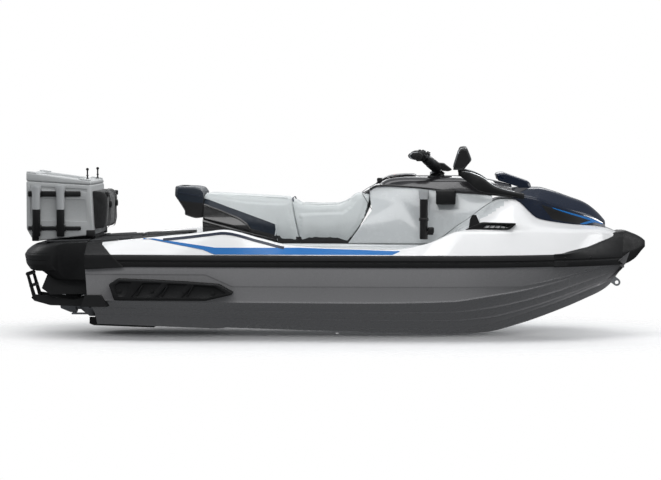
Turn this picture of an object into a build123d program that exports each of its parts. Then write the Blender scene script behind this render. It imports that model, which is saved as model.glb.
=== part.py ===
from build123d import *
import os
from math import cos, radians, sin

# Jet-drive personal watercraft with a cooler on its stern platform.
# Millimetres.  +X is the bow, +Y is port, +Z is up.  The origin is the bottom centre
# of the whole craft's box: half its length, its centre plane and its lowest point.

# ---- driving dimensions ------------------------------------------------------------
HALF_LENGTH = 1866.0        # bow tip and stern edge stand this far from the origin
HALF_BEAM = 627.5           # outside of the rub rail
RAIL_THICK = 14.0
SIDE_Y = HALF_BEAM - RAIL_THICK
HULL_WALL = 8.0
DECK_WALL = 6.0
TRIM_WALL = 5.0
GAP = 0.3                   # clearance between pieces that part or move
RUN = 0.05                  # radial clearance of a shaft or pin in its bore

TRANSOM_X = -1457.0
STEM_X = 1727.0
RAIL_LOW = 440.0
BOND_Z = 470.0              # hull and deck mouldings meet here, behind the rail
RAIL_HIGH = 510.0
RAIL_END_X = 1300.0         # the bow bumper takes over from the rail

FLOOR_Z = 380.0             # footwell floor
FOOTWELL_IN_Y = 290.0
FOOTWELL_OUT_Y = 462.0
PEDESTAL_Y = 236.0
PEDESTAL_Z = 562.0
ENGINE_HATCH = (-310.0, 60.0, 170.0)       # x from, x to, half width
BIN_HATCH = (1125.0, 1470.0, 145.0)

SHAFT_Z = 190.0             # crank, drive shaft and jet pump axis
TUNNEL_Y = 105.0
TUNNEL_WALL = 7.0
TUNNEL_TOP = 330.0
TUNNEL_FRONT_X = -720.0
PUMP_BORE = 80.0
PUMP_WALL = 12.0
SHAFT_R = 14.0
NOZZLE_PIVOT_X = -1615.0
NOZZLE_R = 68.0
OUTLET_R = 43.0
BUCKET_Y = 85.0             # inside of the reverse bucket's arms
PUMP_FRONT_X = -1400.0
PUMP_REAR_X = -1520.0
PIN_R = 6.0

SEAT_LEAN = 0.22            # the seats lift off along this backward lean
SEAT_SPLIT_X = -210.0       # front and rear seats meet here, at the pedestal's top
SEAT_PAN = 38.0

COLUMN_TILT = 20.0          # steering column, degrees back from vertical
COLUMN_TOP = (600.0, 985.0)
COLUMN_R = 20.0
COLUMN_HOLE = 45.0          # clearance hole for the column in deck and console
BAR_R = 11.0
GRIP_R = 17.0
GRIP_END_Y = 415.0
LEVER_PIN_R = 4.0

COOLER_Y = 265.0
COOLER_WALL = 30.0
ROD_R = 20.0                # bore of every fishing-rod tube
ROD_TUBE_R = 24.0
EYE_R = 11.0                # bore of the towing eyes

# hull stations: x, keel z, chine y share, chine z, rail y share (shares of SIDE_Y)
HULL = [
    (TRANSOM_X, 58, 0.815, 236, 0.954),
    (-700, 32, 0.815, 226, 0.986),
    (200, 8, 0.815, 223, 1.000),
    (700, 0, 0.790, 233, 0.978),
    (900, 10, 0.733, 260, 0.945),
    (1100, 60, 0.636, 290, 0.864),
    (1350, 150, 0.465, 345, 0.700),
    (1500, 215, 0.326, 385, 0.562),
    (1640, 290, 0.179, 415, 0.383),
    (STEM_X, 400, 0.065, 428, 0.212),
]

# deck stations: x, then (y, z) of gunwale top outside, gunwale top inside, footwell outside,
# footwell inside, pedestal top, and the height on the centre line
F = FLOOR_Z
P = PEDESTAL_Z
DECK = [
    (TRANSOM_X, 505, 568, 465, 572, 430, 574, 300, 576, 240, 578, 580),
    (-1070, 520, 609, 485, 609, 450, 592, 300, 592, 240, 592, 592),
    (-880, 522, 628, 487, 628, 470, 600, 300, 600, 240, 604, 604),
    (-720, 523, 647, 488, 647, FOOTWELL_OUT_Y, F, FOOTWELL_IN_Y, F, PEDESTAL_Y, P, P),
    (-647, 523, 655, 488, 655, FOOTWELL_OUT_Y, F, FOOTWELL_IN_Y, F, PEDESTAL_Y, P, P),
    (-424, 523, 605, 488, 605, FOOTWELL_OUT_Y, F, FOOTWELL_IN_Y, F, PEDESTAL_Y, P, P),
    (-259, 523, 566, 488, 566, FOOTWELL_OUT_Y, F, FOOTWELL_IN_Y, F, PEDESTAL_Y, P, P),
    (0, 523, 549, 488, 549, FOOTWELL_OUT_Y, F, FOOTWELL_IN_Y, F, PEDESTAL_Y, P, P),
    (351, 523, 540, 488, 540, FOOTWELL_OUT_Y, F, FOOTWELL_IN_Y, F, PEDESTAL_Y, P, P),
    (540, 516, 572, 484, 572, FOOTWELL_OUT_Y, F, FOOTWELL_IN_Y, F, PEDESTAL_Y, P, P),
    (760, 500, 648, 468, 652, 440, 658, 330, 668, 242, 690, 690),
    (1000, 468, 640, 450, 655, 428, 700, 340, 770, 246, 832, 832),
    (1060, 455, 640, 440, 655, 420, 695, 335, 765, 246, 832, 832),
    (1218, 400, 640, 385, 650, 360, 668, 310, 688, 246, 712, 722),
    (1404, 330, 635, 315, 643, 290, 654, 245, 666, 196, 680, 690),
    (1590, 215, 630, 200, 636, 180, 644, 150, 652, 116, 662, 668),
    (1700, 120, 600, 108, 606, 95, 611, 75, 616, 50, 621, 625),
    (STEM_X, 105, 585, 95, 590, 80, 594, 62, 598, 40, 602, 605),
]

# ---- helpers -----------------------------------------------------------------------


def between(table, x):
    """The table's row at x, each value in line between the rows on both sides."""
    for low, high in zip(table, table[1:]):
        if low[0] <= x <= high[0]:
            share = (x - low[0]) / (high[0] - low[0])
            return [a + share * (b - a) for a, b in zip(low, high)]
    raise ValueError(f"x {x} is outside the table")


def box(x0, x1, y0, y1, z0, z1):
    """An upright box between two corners."""
    return Solid.make_box(x1 - x0, y1 - y0, z1 - z0, Plane((x0, y0, z0)))


def prism_y(outline, y0, y1):
    """An (x, z) outline carried from y0 to y1."""
    face = Face(Wire.make_polygon([(x, y0, z) for x, z in outline]))
    return Solid.extrude(face, (0, y1 - y0, 0))


def prism_x(outline, x0, x1):
    """A (y, z) outline carried from x0 to x1."""
    face = Face(Wire.make_polygon([(x0, y, z) for y, z in outline]))
    return Solid.extrude(face, (x1 - x0, 0, 0))


def prism_z(outline, z0, z1):
    """An (x, y) outline carried from z0 to z1."""
    face = Face(Wire.make_polygon([(x, y, z0) for x, y in outline]))
    return Solid.extrude(face, (0, 0, z1 - z0))


def rod(start, end, radius):
    """A round bar from one point to another."""
    start, end = Vector(*start), Vector(*end)
    return Solid.make_cylinder(radius, (end - start).length, Plane(start, z_dir=end - start))


def tube(start, end, outer, inner):
    """A round tube from one point to another."""
    return rod(start, end, outer) - rod(start, end, inner)


def cone(start, end, r0, r1):
    """A cone frustum from one point to another."""
    start, end = Vector(*start), Vector(*end)
    return Solid.make_cone(r0, r1, (end - start).length, Plane(start, z_dir=end - start))


def loft_x(sections):
    """A straight-sided loft through (x, [(y, z), ...]) sections."""
    wires = [Wire.make_polygon([(x, y, z) for y, z in ring]) for x, ring in sections]
    return Solid.make_loft(wires, ruled=True)


def mirrored(half):
    """A half path from port to the centre line, carried on to starboard."""
    return half + [(-y, z) for y, z in reversed(half) if y > 0]


def offset(path, wall):
    """An open path moved to its left by the wall, with mitred corners."""
    normals = []
    for (y0, z0), (y1, z1) in zip(path, path[1:]):
        length = ((y1 - y0) ** 2 + (z1 - z0) ** 2) ** 0.5
        normals.append(((z0 - z1) / length, (y1 - y0) / length))
    moved = []
    for index, (y, z) in enumerate(path):
        a = normals[max(index - 1, 0)]
        b = normals[min(index, len(normals) - 1)]
        scale = wall / (1 + a[0] * b[0] + a[1] * b[1])
        moved.append((y + scale * (a[0] + b[0]), z + scale * (a[1] + b[1])))
    return moved


def both(shape):
    """A starboard piece and its port twin, as separate solids."""
    return [shape, shape.mirror(Plane.XZ)]


def solids_of(item):
    """Every solid in a shape or a nested list of shapes."""
    if isinstance(item, (list, tuple, ShapeList)):
        return [solid for part in item for solid in solids_of(part)]
    return list(item.solids())


def save(name, item):
    """Write one node's STEP file."""
    found = solids_of(item)
    export_step(found[0] if len(found) == 1 else Compound(children=found), f"parts/{name}.step")


# ---- hull and deck sections ---------------------------------------------------------


def rail_y(x):
    """Half width at the vertical band that the rail covers."""
    return between(HULL, x)[4] * SIDE_Y


def hull_path(x):
    """Outside of the hull at x, from port rail to starboard rail."""
    _, keel, chine, chine_z, rail = between(HULL, x)
    half = [(rail * SIDE_Y, BOND_Z), (rail * SIDE_Y, RAIL_LOW), (chine * SIDE_Y, chine_z), (0, keel)]
    return mirrored(half)


def deck_path(x):
    """Outside of the deck at x, from port rail to starboard rail."""
    row = between(DECK, x)
    half = [(rail_y(x), BOND_Z), (rail_y(x), RAIL_HIGH)]
    half += [(row[i], row[i + 1]) for i in range(1, 11, 2)]
    half.append((0, row[11]))
    return mirrored(half)


def stations(table, x0=TRANSOM_X, x1=STEM_X):
    """All hull and table stations between two limits."""
    marks = {x0, x1} | {float(row[0]) for row in HULL + table}
    return sorted(x for x in marks if x0 <= x <= x1)


def moulding(path_at, marks, wall):
    """The skin of a moulding: its section, wall thick, carried along its stations."""
    rings = []
    for x in marks:
        outer = path_at(x)
        rings.append((x, outer + offset(outer, wall)[::-1]))
    return loft_x(rings)


def solid_body(path_at, marks):
    """The space inside a moulding's outer surface."""
    return loft_x([(x, path_at(x)) for x in marks])


def end_plate(path_at, x, thick):
    """A plate that closes a moulding's end."""
    return prism_x(path_at(x), x, x + thick)


HULL_MARKS = stations(HULL)
DECK_MARKS = stations(DECK)
hull_outer = solid_body(hull_path, HULL_MARKS)
hull_inner = loft_x([(x, offset(hull_path(x), -HULL_WALL)) for x in HULL_MARKS])
deck_outer = solid_body(deck_path, DECK_MARKS)


def hull_shell():
    """Hull moulding with its transom, bow plate and the slot for the pump tunnel."""
    shell = moulding(hull_path, HULL_MARKS, -HULL_WALL)
    shell += end_plate(hull_path, TRANSOM_X, HULL_WALL)
    shell += end_plate(hull_path, STEM_X, HULL_WALL)
    slot = box(TRANSOM_X - 20, TUNNEL_FRONT_X, -TUNNEL_Y, TUNNEL_Y, -50, TUNNEL_TOP)
    return shell - slot


def deck_shell():
    """Deck moulding: gunwales, footwells, pedestal, rear deck and bow sides."""
    shell = moulding(deck_path, DECK_MARKS, DECK_WALL)
    shell += end_plate(deck_path, TRANSOM_X, DECK_WALL)
    shell += end_plate(deck_path, STEM_X, DECK_WALL)
    for x0, x1, half in (ENGINE_HATCH, BIN_HATCH):
        shell -= box(x0 - GAP, x1 + GAP, -half - GAP, half + GAP, BOND_Z + 30, 1200)
    return shell - rod(column_point(-400), column_point(-200), COLUMN_HOLE)


def rub_rails():
    """Rubber rail over the joint of hull and deck, one each side."""
    marks = stations(HULL, TRANSOM_X, RAIL_END_X)
    rings = []
    for x in marks:
        inner, outer = rail_y(x), rail_y(x) + RAIL_THICK
        ring = [(inner, RAIL_LOW), (outer - 3, RAIL_LOW), (outer, RAIL_LOW + 12),
                (outer, RAIL_HIGH - 14), (outer - 4, RAIL_HIGH), (inner, RAIL_HIGH)]
        rings.append((x, ring))
    return both(loft_x(rings))


def deck_side_y(x, z):
    """Half width of the deck's outer flank at a height between the rail and the gunwale."""
    row = between(DECK, x)
    share = min((z - RAIL_HIGH) / (row[2] - RAIL_HIGH), 1)
    return rail_y(x) + share * (row[1] - rail_y(x))


def bow_bumper():
    """Bumper that wraps the bow from the ends of the rails."""
    rings = []
    crest = [(RAIL_END_X, RAIL_HIGH + 2), (1356, 516), (1500, 566), (1598, 602), (1712, 636), (STEM_X, 634)]
    for x, top in crest:
        low = rail_y(x) + RAIL_THICK
        high = deck_side_y(x, top) + RAIL_THICK - 2
        rings.append((x, [(low, RAIL_LOW - 4), (low, RAIL_HIGH), (high, top)]))
    rings.append((1797, [(98, 466), (104, 520), (70, 612)]))
    rings.append((1848, [(62, 520), (66, 545), (45, 586)]))
    rings.append((HALF_LENGTH, [(34, 536), (36, 552), (26, 572)]))
    full = [(x, mirrored(half)) for x, half in rings]
    nose = loft_x(full) - hull_outer - deck_outer
    nose -= end_plate(hull_path, STEM_X, HULL_WALL) + end_plate(deck_path, STEM_X, DECK_WALL)
    return sorted(nose.solids(), key=lambda solid: solid.volume)[-1]


# ---- stern --------------------------------------------------------------------------

PLATFORM_TOP = [(-1794, 563), (-1718, 576), (TRANSOM_X - GAP, 583)]
PLATFORM_Y = 500.0


def stern_platform():
    """Boarding platform behind the transom, with a raked underside and a rounded plan."""
    outline = [(-HALF_LENGTH, 497), (-1850, 523), (-1823, 546)] + PLATFORM_TOP
    outline += [(TRANSOM_X - GAP, 345), (-1700, 352), (-1782, 404), (-1830, 404), (-1856, 440)]
    slab = prism_y(outline, -PLATFORM_Y, PLATFORM_Y)
    plan = [(TRANSOM_X, -PLATFORM_Y), (TRANSOM_X, PLATFORM_Y), (-1700, PLATFORM_Y - 6),
            (-1800, PLATFORM_Y - 60), (-HALF_LENGTH, PLATFORM_Y - 170)]
    plan += [(x, -y) for x, y in reversed(plan[2:])]
    slab = slab & prism_z(plan, 300, 700)
    well = prism_y([(-1800, 395), (-1705, 345), (-1400, 335), (-1400, 552), (-1800, 540)],
                   -PLATFORM_Y + 70, PLATFORM_Y - 70)
    return slab - well


def deck_mats():
    """Foam mats in the footwells and on the platform beside the cooler."""
    floor = box(-650, 500, -FOOTWELL_OUT_Y + 8, -FOOTWELL_IN_Y - 8, FLOOR_Z, FLOOR_Z + 6)
    (x0, z0), (x1, z1) = PLATFORM_TOP[1:]
    pad = prism_y([(x0, z0), (x1, z1), (x1, z1 + 6), (x0, z0 + 6)], -PLATFORM_Y + 50, -330)
    return both(floor) + both(pad)


def chine_guards():
    """Guards on the hull's two lower stern corners."""
    guard = prism_y([(-1463, 268), (-1372, 268), (-1329, 200), (-1486, 200)], -566, -470) - hull_outer
    guard = sorted(guard.solids(), key=lambda solid: solid.volume)[-1]
    return both(guard)


def eye(x, y, z, toward):
    """A towing eye with its bore across the craft, on a foot that runs to the hull."""
    disc = rod((x, y - 7, z), (x, y + 7, z), 22)
    dx, dz = toward
    foot = prism_y([(x - dz * 0.5, z + dx * 0.5), (x + dz * 0.5, z - dx * 0.5),
                    (x + dx + dz * 0.5, z + dz - dx * 0.5), (x + dx - dz * 0.5, z + dz + dx * 0.5)],
                   y - 7, y + 7)
    body = (disc + foot) - hull_outer
    body = sorted(body.solids(), key=lambda solid: solid.volume)[-1]
    return body - rod((x, y - 20, z), (x, y + 20, z), EYE_R)


def tow_eyes():
    """One eye on the stem and two on the transom."""
    stem = eye(1700, 0, 318, (-36, 28))
    stern = eye(TRANSOM_X - 26, -420, 300, (30, 0))
    return [stem] + both(stern)


def sponsons():
    """Stabilising fins bolted to the hull's sides near the stern."""
    outline = [(-1316, 335), (-1263, 370), (-1048, 363), (-849, 353), (-665, 339),
               (-581, 289), (-594, 275), (-743, 240), (-1284, 240)]
    fin = prism_y(outline, -600, -500) - hull_outer
    fin = sorted(fin.solids(), key=lambda solid: solid.volume)[-1]
    return both(fin)


def sponson_bolts():
    """Bolt heads on the fins."""
    heads = []
    for x, z in ((-1250, 300), (-1060, 300), (-870, 296), (-700, 290)):
        heads += both(rod((x, -600, z), (x, -605, z), 10))
    return heads


# ---- jet drive ----------------------------------------------------------------------


def bottom_z(x, y):
    """Height of the hull's bottom panel at a distance y from the keel."""
    _, keel, chine, chine_z, _ = between(HULL, x)
    return keel + (chine_z - keel) * y / (chine * SIDE_Y)


def pump_tunnel():
    """Inverted channel over the pump, open below and behind."""
    outer_y = TUNNEL_Y - GAP
    inner_y = outer_y - TUNNEL_WALL
    top = TUNNEL_TOP - GAP
    rear_low = bottom_z(TRANSOM_X, TUNNEL_Y)
    front_low = bottom_z(TUNNEL_FRONT_X, TUNNEL_Y)
    front = TUNNEL_FRONT_X - GAP
    outer = prism_y([(TRANSOM_X, rear_low), (front, front_low), (front, 260), (front - 60, top),
                     (TRANSOM_X, top)], -outer_y, outer_y)
    inner = prism_y([(TRANSOM_X - 5, 0), (front - TUNNEL_WALL, 0), (front - TUNNEL_WALL, 256),
                     (front - 60, top - TUNNEL_WALL), (TRANSOM_X - 5, top - TUNNEL_WALL)], -inner_y, inner_y)
    shaft_hole = rod((front - 20, 0, SHAFT_Z), (front + 20, 0, SHAFT_Z), SHAFT_R + 2)
    return outer - inner - shaft_hole


def ride_plate():
    """Flat plate under the pump, with cheeks that fill the space up to the hull's bottom."""
    half = TUNNEL_Y + 15
    block = prism_y([(-1505, 103), (-1505, 62), (-1478, 52), (-1110, 40), (-1103, 52), (-1103, 103)],
                    -half, half)
    inner = TUNNEL_Y - TUNNEL_WALL - 1
    block -= box(-1520, -1090, -inner, inner, 66, 200)
    block -= box(-1520, -1090, -TUNNEL_Y, TUNNEL_Y, bottom_z(TUNNEL_FRONT_X, TUNNEL_Y) + 2, 200)
    return block - hull_outer


def intake_grate():
    """Frame and bars over the water intake, ahead of the ride plate."""
    half = TUNNEL_Y - TUNNEL_WALL - 2 * GAP - 0.4
    x0, x1, z0, z1 = -1095, -735, 78, 90
    frame = box(x0, x1, -half, half, z0, z1) - box(x0 + 16, x1 - 16, -half + 14, half - 14, z0 - 1, z1 + 1)
    for y in (-42, -14, 14, 42):
        frame += box(x0 + 10, x1 - 10, y - 5, y + 5, z0, z1)
    return frame


def pump_housing():
    """Pump barrel with its transom flange, outlet cone and the ears of nozzle and bucket."""
    outer = PUMP_BORE + PUMP_WALL
    body = rod((PUMP_FRONT_X, 0, SHAFT_Z), (PUMP_REAR_X, 0, SHAFT_Z), outer)
    body += box(TRANSOM_X - GAP - 12, TRANSOM_X - GAP, -130, 130, 112, 334)
    body += cone((PUMP_REAR_X, 0, SHAFT_Z), (PUMP_REAR_X - 55, 0, SHAFT_Z), outer, OUTLET_R + 7)
    body += rod((PUMP_REAR_X - 55, 0, SHAFT_Z), (NOZZLE_PIVOT_X + 15, 0, SHAFT_Z), OUTLET_R + 7)
    for side in (-1, 1):
        low, high = sorted((SHAFT_Z + side * (NOZZLE_R + 3), SHAFT_Z + side * (NOZZLE_R + 13)))
        body += box(NOZZLE_PIVOT_X - 17, PUMP_REAR_X + 5, -15, 15, low, high)
        body += rod((NOZZLE_PIVOT_X, 0, SHAFT_Z + side * (NOZZLE_R + 8)),
                    (NOZZLE_PIVOT_X, 0, SHAFT_Z + side * (NOZZLE_R - 6)), PIN_R)
        low, high = sorted((side * (BUCKET_Y - 9), side * (BUCKET_Y - 1)))
        body += box(NOZZLE_PIVOT_X - 17, PUMP_REAR_X + 5, low, high, SHAFT_Z - 14, SHAFT_Z + 14)
        body += rod((NOZZLE_PIVOT_X, side * (BUCKET_Y - 5), SHAFT_Z),
                    (NOZZLE_PIVOT_X, side * (BUCKET_Y + 9), SHAFT_Z), PIN_R)
    bore = rod((PUMP_FRONT_X + 10, 0, SHAFT_Z), (PUMP_REAR_X, 0, SHAFT_Z), PUMP_BORE)
    bore += cone((PUMP_REAR_X, 0, SHAFT_Z), (PUMP_REAR_X - 55, 0, SHAFT_Z), PUMP_BORE, OUTLET_R)
    bore += rod((PUMP_REAR_X - 55, 0, SHAFT_Z), (NOZZLE_PIVOT_X, 0, SHAFT_Z), OUTLET_R)
    return body - bore


def steering_nozzle():
    """Steering nozzle that swings on two upright pins."""
    front, waist, rear = NOZZLE_PIVOT_X + 15, NOZZLE_PIVOT_X - 25, NOZZLE_PIVOT_X - 83
    body = rod((front, 0, SHAFT_Z), (waist, 0, SHAFT_Z), NOZZLE_R)
    body += cone((waist, 0, SHAFT_Z), (rear, 0, SHAFT_Z), NOZZLE_R, OUTLET_R + 2)
    bore = rod((front + 5, 0, SHAFT_Z), (waist, 0, SHAFT_Z), NOZZLE_R - 6)
    bore += cone((waist, 0, SHAFT_Z), (rear - 1, 0, SHAFT_Z), NOZZLE_R - 6, OUTLET_R - 5)
    body -= bore
    for side in (-1, 1):
        face = SHAFT_Z + side * (NOZZLE_R + 3 - GAP)
        body += rod((NOZZLE_PIVOT_X, 0, SHAFT_Z + side * (NOZZLE_R - 5)), (NOZZLE_PIVOT_X, 0, face), 13)
        body -= rod((NOZZLE_PIVOT_X, 0, SHAFT_Z + side * (NOZZLE_R - 13)), (NOZZLE_PIVOT_X, 0, face + side),
                    PIN_R + RUN)
    return body


def reverse_bucket():
    """Reverse bucket, parked above the nozzle, on two side arms."""
    radius, thick = 110.0, 7.0
    inner_y, outer_y = BUCKET_Y, BUCKET_Y + 6
    curve = []
    for step in range(7):
        angle = radians(58 + step * 10)
        curve.append((NOZZLE_PIVOT_X - radius * cos(angle), SHAFT_Z + radius * sin(angle)))
    outer_curve = []
    for step in range(7):
        angle = radians(58 + step * 10)
        reach = radius + thick
        outer_curve.append((NOZZLE_PIVOT_X - reach * cos(angle), SHAFT_Z + reach * sin(angle)))
    scoop = prism_y(curve + outer_curve[::-1], -outer_y, outer_y)
    arm = prism_y([(NOZZLE_PIVOT_X - 18, SHAFT_Z - 6), (NOZZLE_PIVOT_X + 18, SHAFT_Z - 6)]
                  + outer_curve[::-1], inner_y, outer_y)
    arm += rod((NOZZLE_PIVOT_X, inner_y, SHAFT_Z), (NOZZLE_PIVOT_X, outer_y, SHAFT_Z), 19)
    arm -= rod((NOZZLE_PIVOT_X, inner_y - 1, SHAFT_Z), (NOZZLE_PIVOT_X, outer_y + 1, SHAFT_Z), PIN_R + RUN)
    return scoop + arm + arm.mirror(Plane.XZ)


def impeller():
    """Four pitched blades on a hub, running in the pump barrel."""
    body = rod((-1412, 0, SHAFT_Z), (-1496, 0, SHAFT_Z), 30)
    for turn in range(4):
        blade = box(-32, 32, -2.5, 2.5, 20, PUMP_BORE + 5)
        blade = blade.rotate(Axis.Z, 42).rotate(Axis.X, 90 * turn).moved(Location((-1454, 0, SHAFT_Z)))
        body += blade
    body = body & rod((-1400, 0, SHAFT_Z), (-1510, 0, SHAFT_Z), PUMP_BORE - 0.5)
    return body - rod((-1405, 0, SHAFT_Z), (-1470, 0, SHAFT_Z), SHAFT_R)


def drive_shaft():
    """Drive shaft with its coupling at the engine."""
    return rod((-440, 0, SHAFT_Z), (-1470, 0, SHAFT_Z), SHAFT_R) + rod(
        (-426, 0, SHAFT_Z), (-470, 0, SHAFT_Z), 45)


# ---- engine bay ---------------------------------------------------------------------


def engine_block():
    """Three-cylinder marine engine: crankcase, block and head."""
    block = box(-425, 90, -150, 150, 125, 300) + box(-380, 60, -95, 95, 300, 440)
    block += box(-395, 75, -80, 80, 440, 490)
    for x in (-300, -160, -20):
        block += rod((x, 0, 490), (x, 0, 505), 24)
    return block


def engine_mounts():
    """Four rubber mounts between the hull and the engine."""
    pads = []
    for x in (-390, 20):
        pad = box(x, x + 60, -195, -150 - GAP, 20, 190) & hull_inner
        pads += both(pad)
    return pads


def air_box():
    """Intake air box ahead of the engine."""
    return box(90 + GAP, 300, -120, 120, 270, 500)


def exhaust_muffler():
    """Water-box muffler on the port side of the tunnel, on two saddles."""
    x0, x1, y, z, radius = -1250, -870, 250, 240, 80
    body = rod((x0, y, z), (x1, y, z), radius)
    for x in (x0 + 60, x1 - 90):
        body += box(x, x + 30, y - 60, y + 60, 100, z) & hull_inner
    return body


def fuel_tank():
    """Fuel tank in the bow half, its floor shaped to the hull."""
    tank = box(360, 880, -210, 210, 0, 330) & hull_inner
    return tank.moved(Location((0, 0, GAP)))


def battery():
    """Starter battery, strapped on the tank."""
    return box(420, 600, -90, 90, 330 + GAP, 500)


def bearings():
    """The drive shaft's seal on the tunnel and the steering column's bush in the console."""
    seal = tube((TUNNEL_FRONT_X, 0, SHAFT_Z), (TUNNEL_FRONT_X + 24, 0, SHAFT_Z), 32, SHAFT_R + RUN)
    bush = tube(column_point(-62), column_point(-12), COLUMN_HOLE - GAP, COLUMN_R + RUN)
    return [seal, bush]


# ---- pedestal, seats and console ------------------------------------------------------

KNEE_TOP = [(205, 905), (365, 900), (572, 882), (692, 867), (872, 856), (940, 850), (1057, 838)]
SEAT_SECTION = [(225, P), (222, 640), (187, 760), (142, 830), (112, 920)]
SEAT_FRONT = [(78, P), (221, 762), (204, 838), (204, 866)]      # rear edge of the knee shroud


def split_x(z):
    """The leaning joint between the front and rear seats."""
    return SEAT_SPLIT_X - SEAT_LEAN * (z - P)


def seat_between(outline):
    """A seat piece: its side outline within the seats' common section."""
    return prism_y(outline, -300, 300) & prism_x(mirrored(SEAT_SECTION + [(0, 921)]), -900, 300)


def front_seat_base():
    """Plastic pan under the front seat."""
    z0, z1 = P + GAP, P + SEAT_PAN
    return seat_between([(split_x(z0) + 1, z0), (78 - 1, z0), (78 - 1 + 0.704 * SEAT_PAN, z1),
                         (split_x(z1) + 1, z1)])


def front_seat():
    """Driver's cushion."""
    z0 = P + SEAT_PAN + GAP
    top = [(split_x(826) + 1, 826), (-212, 793), (-166, 788), (14, 791), (82, 822), (119, 857), (200, 864)]
    front = [(202, 838), (218.5, 762), (78 - 1 + 0.704 * (z0 - P), z0)]
    return seat_between([(split_x(z0) + 1, z0)] + top + front)


REAR_LINE = [(-346, 587), (-800, 703)]      # the rear seat's pan rests on the trim along this line


def rear_seat_base():
    """Plastic pan under the rear seat, stepped up over the pedestal trim."""
    z0 = P + GAP
    low = [(split_x(z0) - 1, z0), (-346, z0)] + REAR_LINE
    high = [(x, z + 20) for x, z in reversed(REAR_LINE)] + [(split_x(P + SEAT_PAN) - 1, P + SEAT_PAN)]
    return seat_between(low + high)


def rear_seat():
    """Passenger cushion."""
    low = [(split_x(P + SEAT_PAN) - 1, P + SEAT_PAN + GAP)] + [(x, z + 20 + GAP) for x, z in REAR_LINE]
    high = [(-800, 855), (-516, 841), (split_x(826) - 1, 826)]
    return seat_between(low + high)


def grab_handle():
    """Passenger grab handle behind the rear seat, with a hand slot."""
    outline = [(-978, 845), (-974, 903), (-856, 900), (-816, 891), (-800 - GAP, 868), (-800 - GAP, 712),
               (-850, 706), (-880, 714), (-917, 727), (-917, 752), (-943, 794)]
    return prism_y(outline, -170, 170) - box(-950, -905, -115, 115, 600, 1000)


def pedestal_trim():
    """Dark panel around the pedestal, under the rear seat."""
    x1, x0 = REAR_LINE[0][0] - 4, REAR_LINE[1][0]

    def ring(inset):
        slope = (REAR_LINE[1][1] - REAR_LINE[0][1]) / (REAR_LINE[1][0] - REAR_LINE[0][0])
        top0 = REAR_LINE[0][1] + slope * (x0 + inset - REAR_LINE[0][0])
        top1 = REAR_LINE[0][1] + slope * (x1 - inset - REAR_LINE[0][0])
        lift = 60 if inset else 0
        return [(x0 + inset, 592 - lift), (x0 + inset, top0 - GAP + lift), (x1 - inset, top1 - GAP + lift),
                (x1 - inset, P + GAP - lift), (-718, P + GAP - lift)]

    half = PEDESTAL_Y - 6
    return prism_y(ring(0), -half, half) - prism_y(ring(6), -half + 6, half - 6)


def knee_half(x):
    """Half width of the knee shroud's top."""
    return between([(60, 150), (365, 165), (692, 190), (1060, 236)], x)[1]


def knee_body(inset):
    """The knee shroud's form between the deck and the console, made smaller by the inset."""
    rings = []
    for x in (60, 205, 365, 540, 572, 692, 760, 872, 940):
        row = between(DECK, x)
        top = between([(60, 905)] + KNEE_TOP, x)[1]
        low, high = row[10] + GAP, top
        spread = 100 if inset else 0
        side_low, side_high = row[9] - inset, knee_half(x) - inset
        grow = (side_low - side_high) / (high - low)
        rings.append((x, [(side_low + grow * spread, low - spread), (side_high - grow * spread, high + spread),
                          (-side_high + grow * spread, high + spread), (-side_low - grow * spread, low - spread)]))
    return loft_x(rings)


def knee_shroud():
    """Light shroud of the steering pedestal, between the rider's knees."""
    body = knee_body(0)
    edge = [(x, z) for x, z in SEAT_FRONT] + [(204, 1000), (960, 1000), (960, 500), (78, 500)]
    body = body & prism_y(edge, -300, 300)
    hollow = [(84, 400), (84, P), (228, 762), (212, 838), (212, 1100), (934, 1100), (934, 400)]
    return body - (knee_body(TRIM_WALL) & prism_y(hollow, -300, 300))


CONSOLE_TOP = [(205, 918), (329, 955), (426, 963), (722, 963), (900, 945), (1057, 908)]


def console_ring(x, inset):
    """Section of the console at x."""
    low = between(KNEE_TOP, x)[1] + GAP - (40 if inset else 0)
    high = between(CONSOLE_TOP, x)[1] - inset
    wide = knee_half(x) - inset
    return mirrored([(wide, low), (wide - 12, high - 22), (wide * 0.62, high), (0, high + 3)])


def column_point(reach):
    """A point on the steering axis, at a distance from the column's top."""
    tilt = radians(COLUMN_TILT)
    return (COLUMN_TOP[0] - reach * sin(tilt), 0, COLUMN_TOP[1] + reach * cos(tilt))


CONSOLE_MARKS = (205, 329, 365, 426, 572, 692, 722, 872, 900, 940, 1057)
GLOVEBOX = (250.0, 470.0, 80.0)         # x from, x to, half width of the opening


def console_shell():
    """Console over the steering column, with the glovebox tub moulded in."""
    shell = loft_x([(x, console_ring(x, 0)) for x in CONSOLE_MARKS])
    inner = loft_x([(x, console_ring(x, TRIM_WALL)) for x in CONSOLE_MARKS])
    shell -= inner & box(205 + TRIM_WALL, 1057 - TRIM_WALL, -300, 300, 700, 1100)
    x0, x1, half = GLOVEBOX
    wall = TRIM_WALL - 1
    under_skin = [(x, z - 2) for x, z in CONSOLE_TOP]
    tub = box(x0 - wall, x1 + wall, -half - wall, half + wall, 800, 1100)
    shell += tub & prism_y([(205, 700)] + under_skin + [(1057, 700)], -300, 300)
    shell -= box(x0, x1, -half, half, 800 + wall, 1100)
    return shell - rod(column_point(-140), column_point(60), COLUMN_HOLE)


def glovebox_lid():
    """Lid of the glovebox, hinged at its front edge."""
    x0, x1, half = GLOVEBOX
    ramp = []
    for x in (x0 - 12, 329, 426, x1 + 12):
        ramp.append((x, between(CONSOLE_TOP, x)[1] + 3 + GAP))
    outline = ramp + [(x, z + 7) for x, z in reversed(ramp)]
    return prism_y(outline, -half - 14, half + 14)


# ---- steering -------------------------------------------------------------------------

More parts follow.
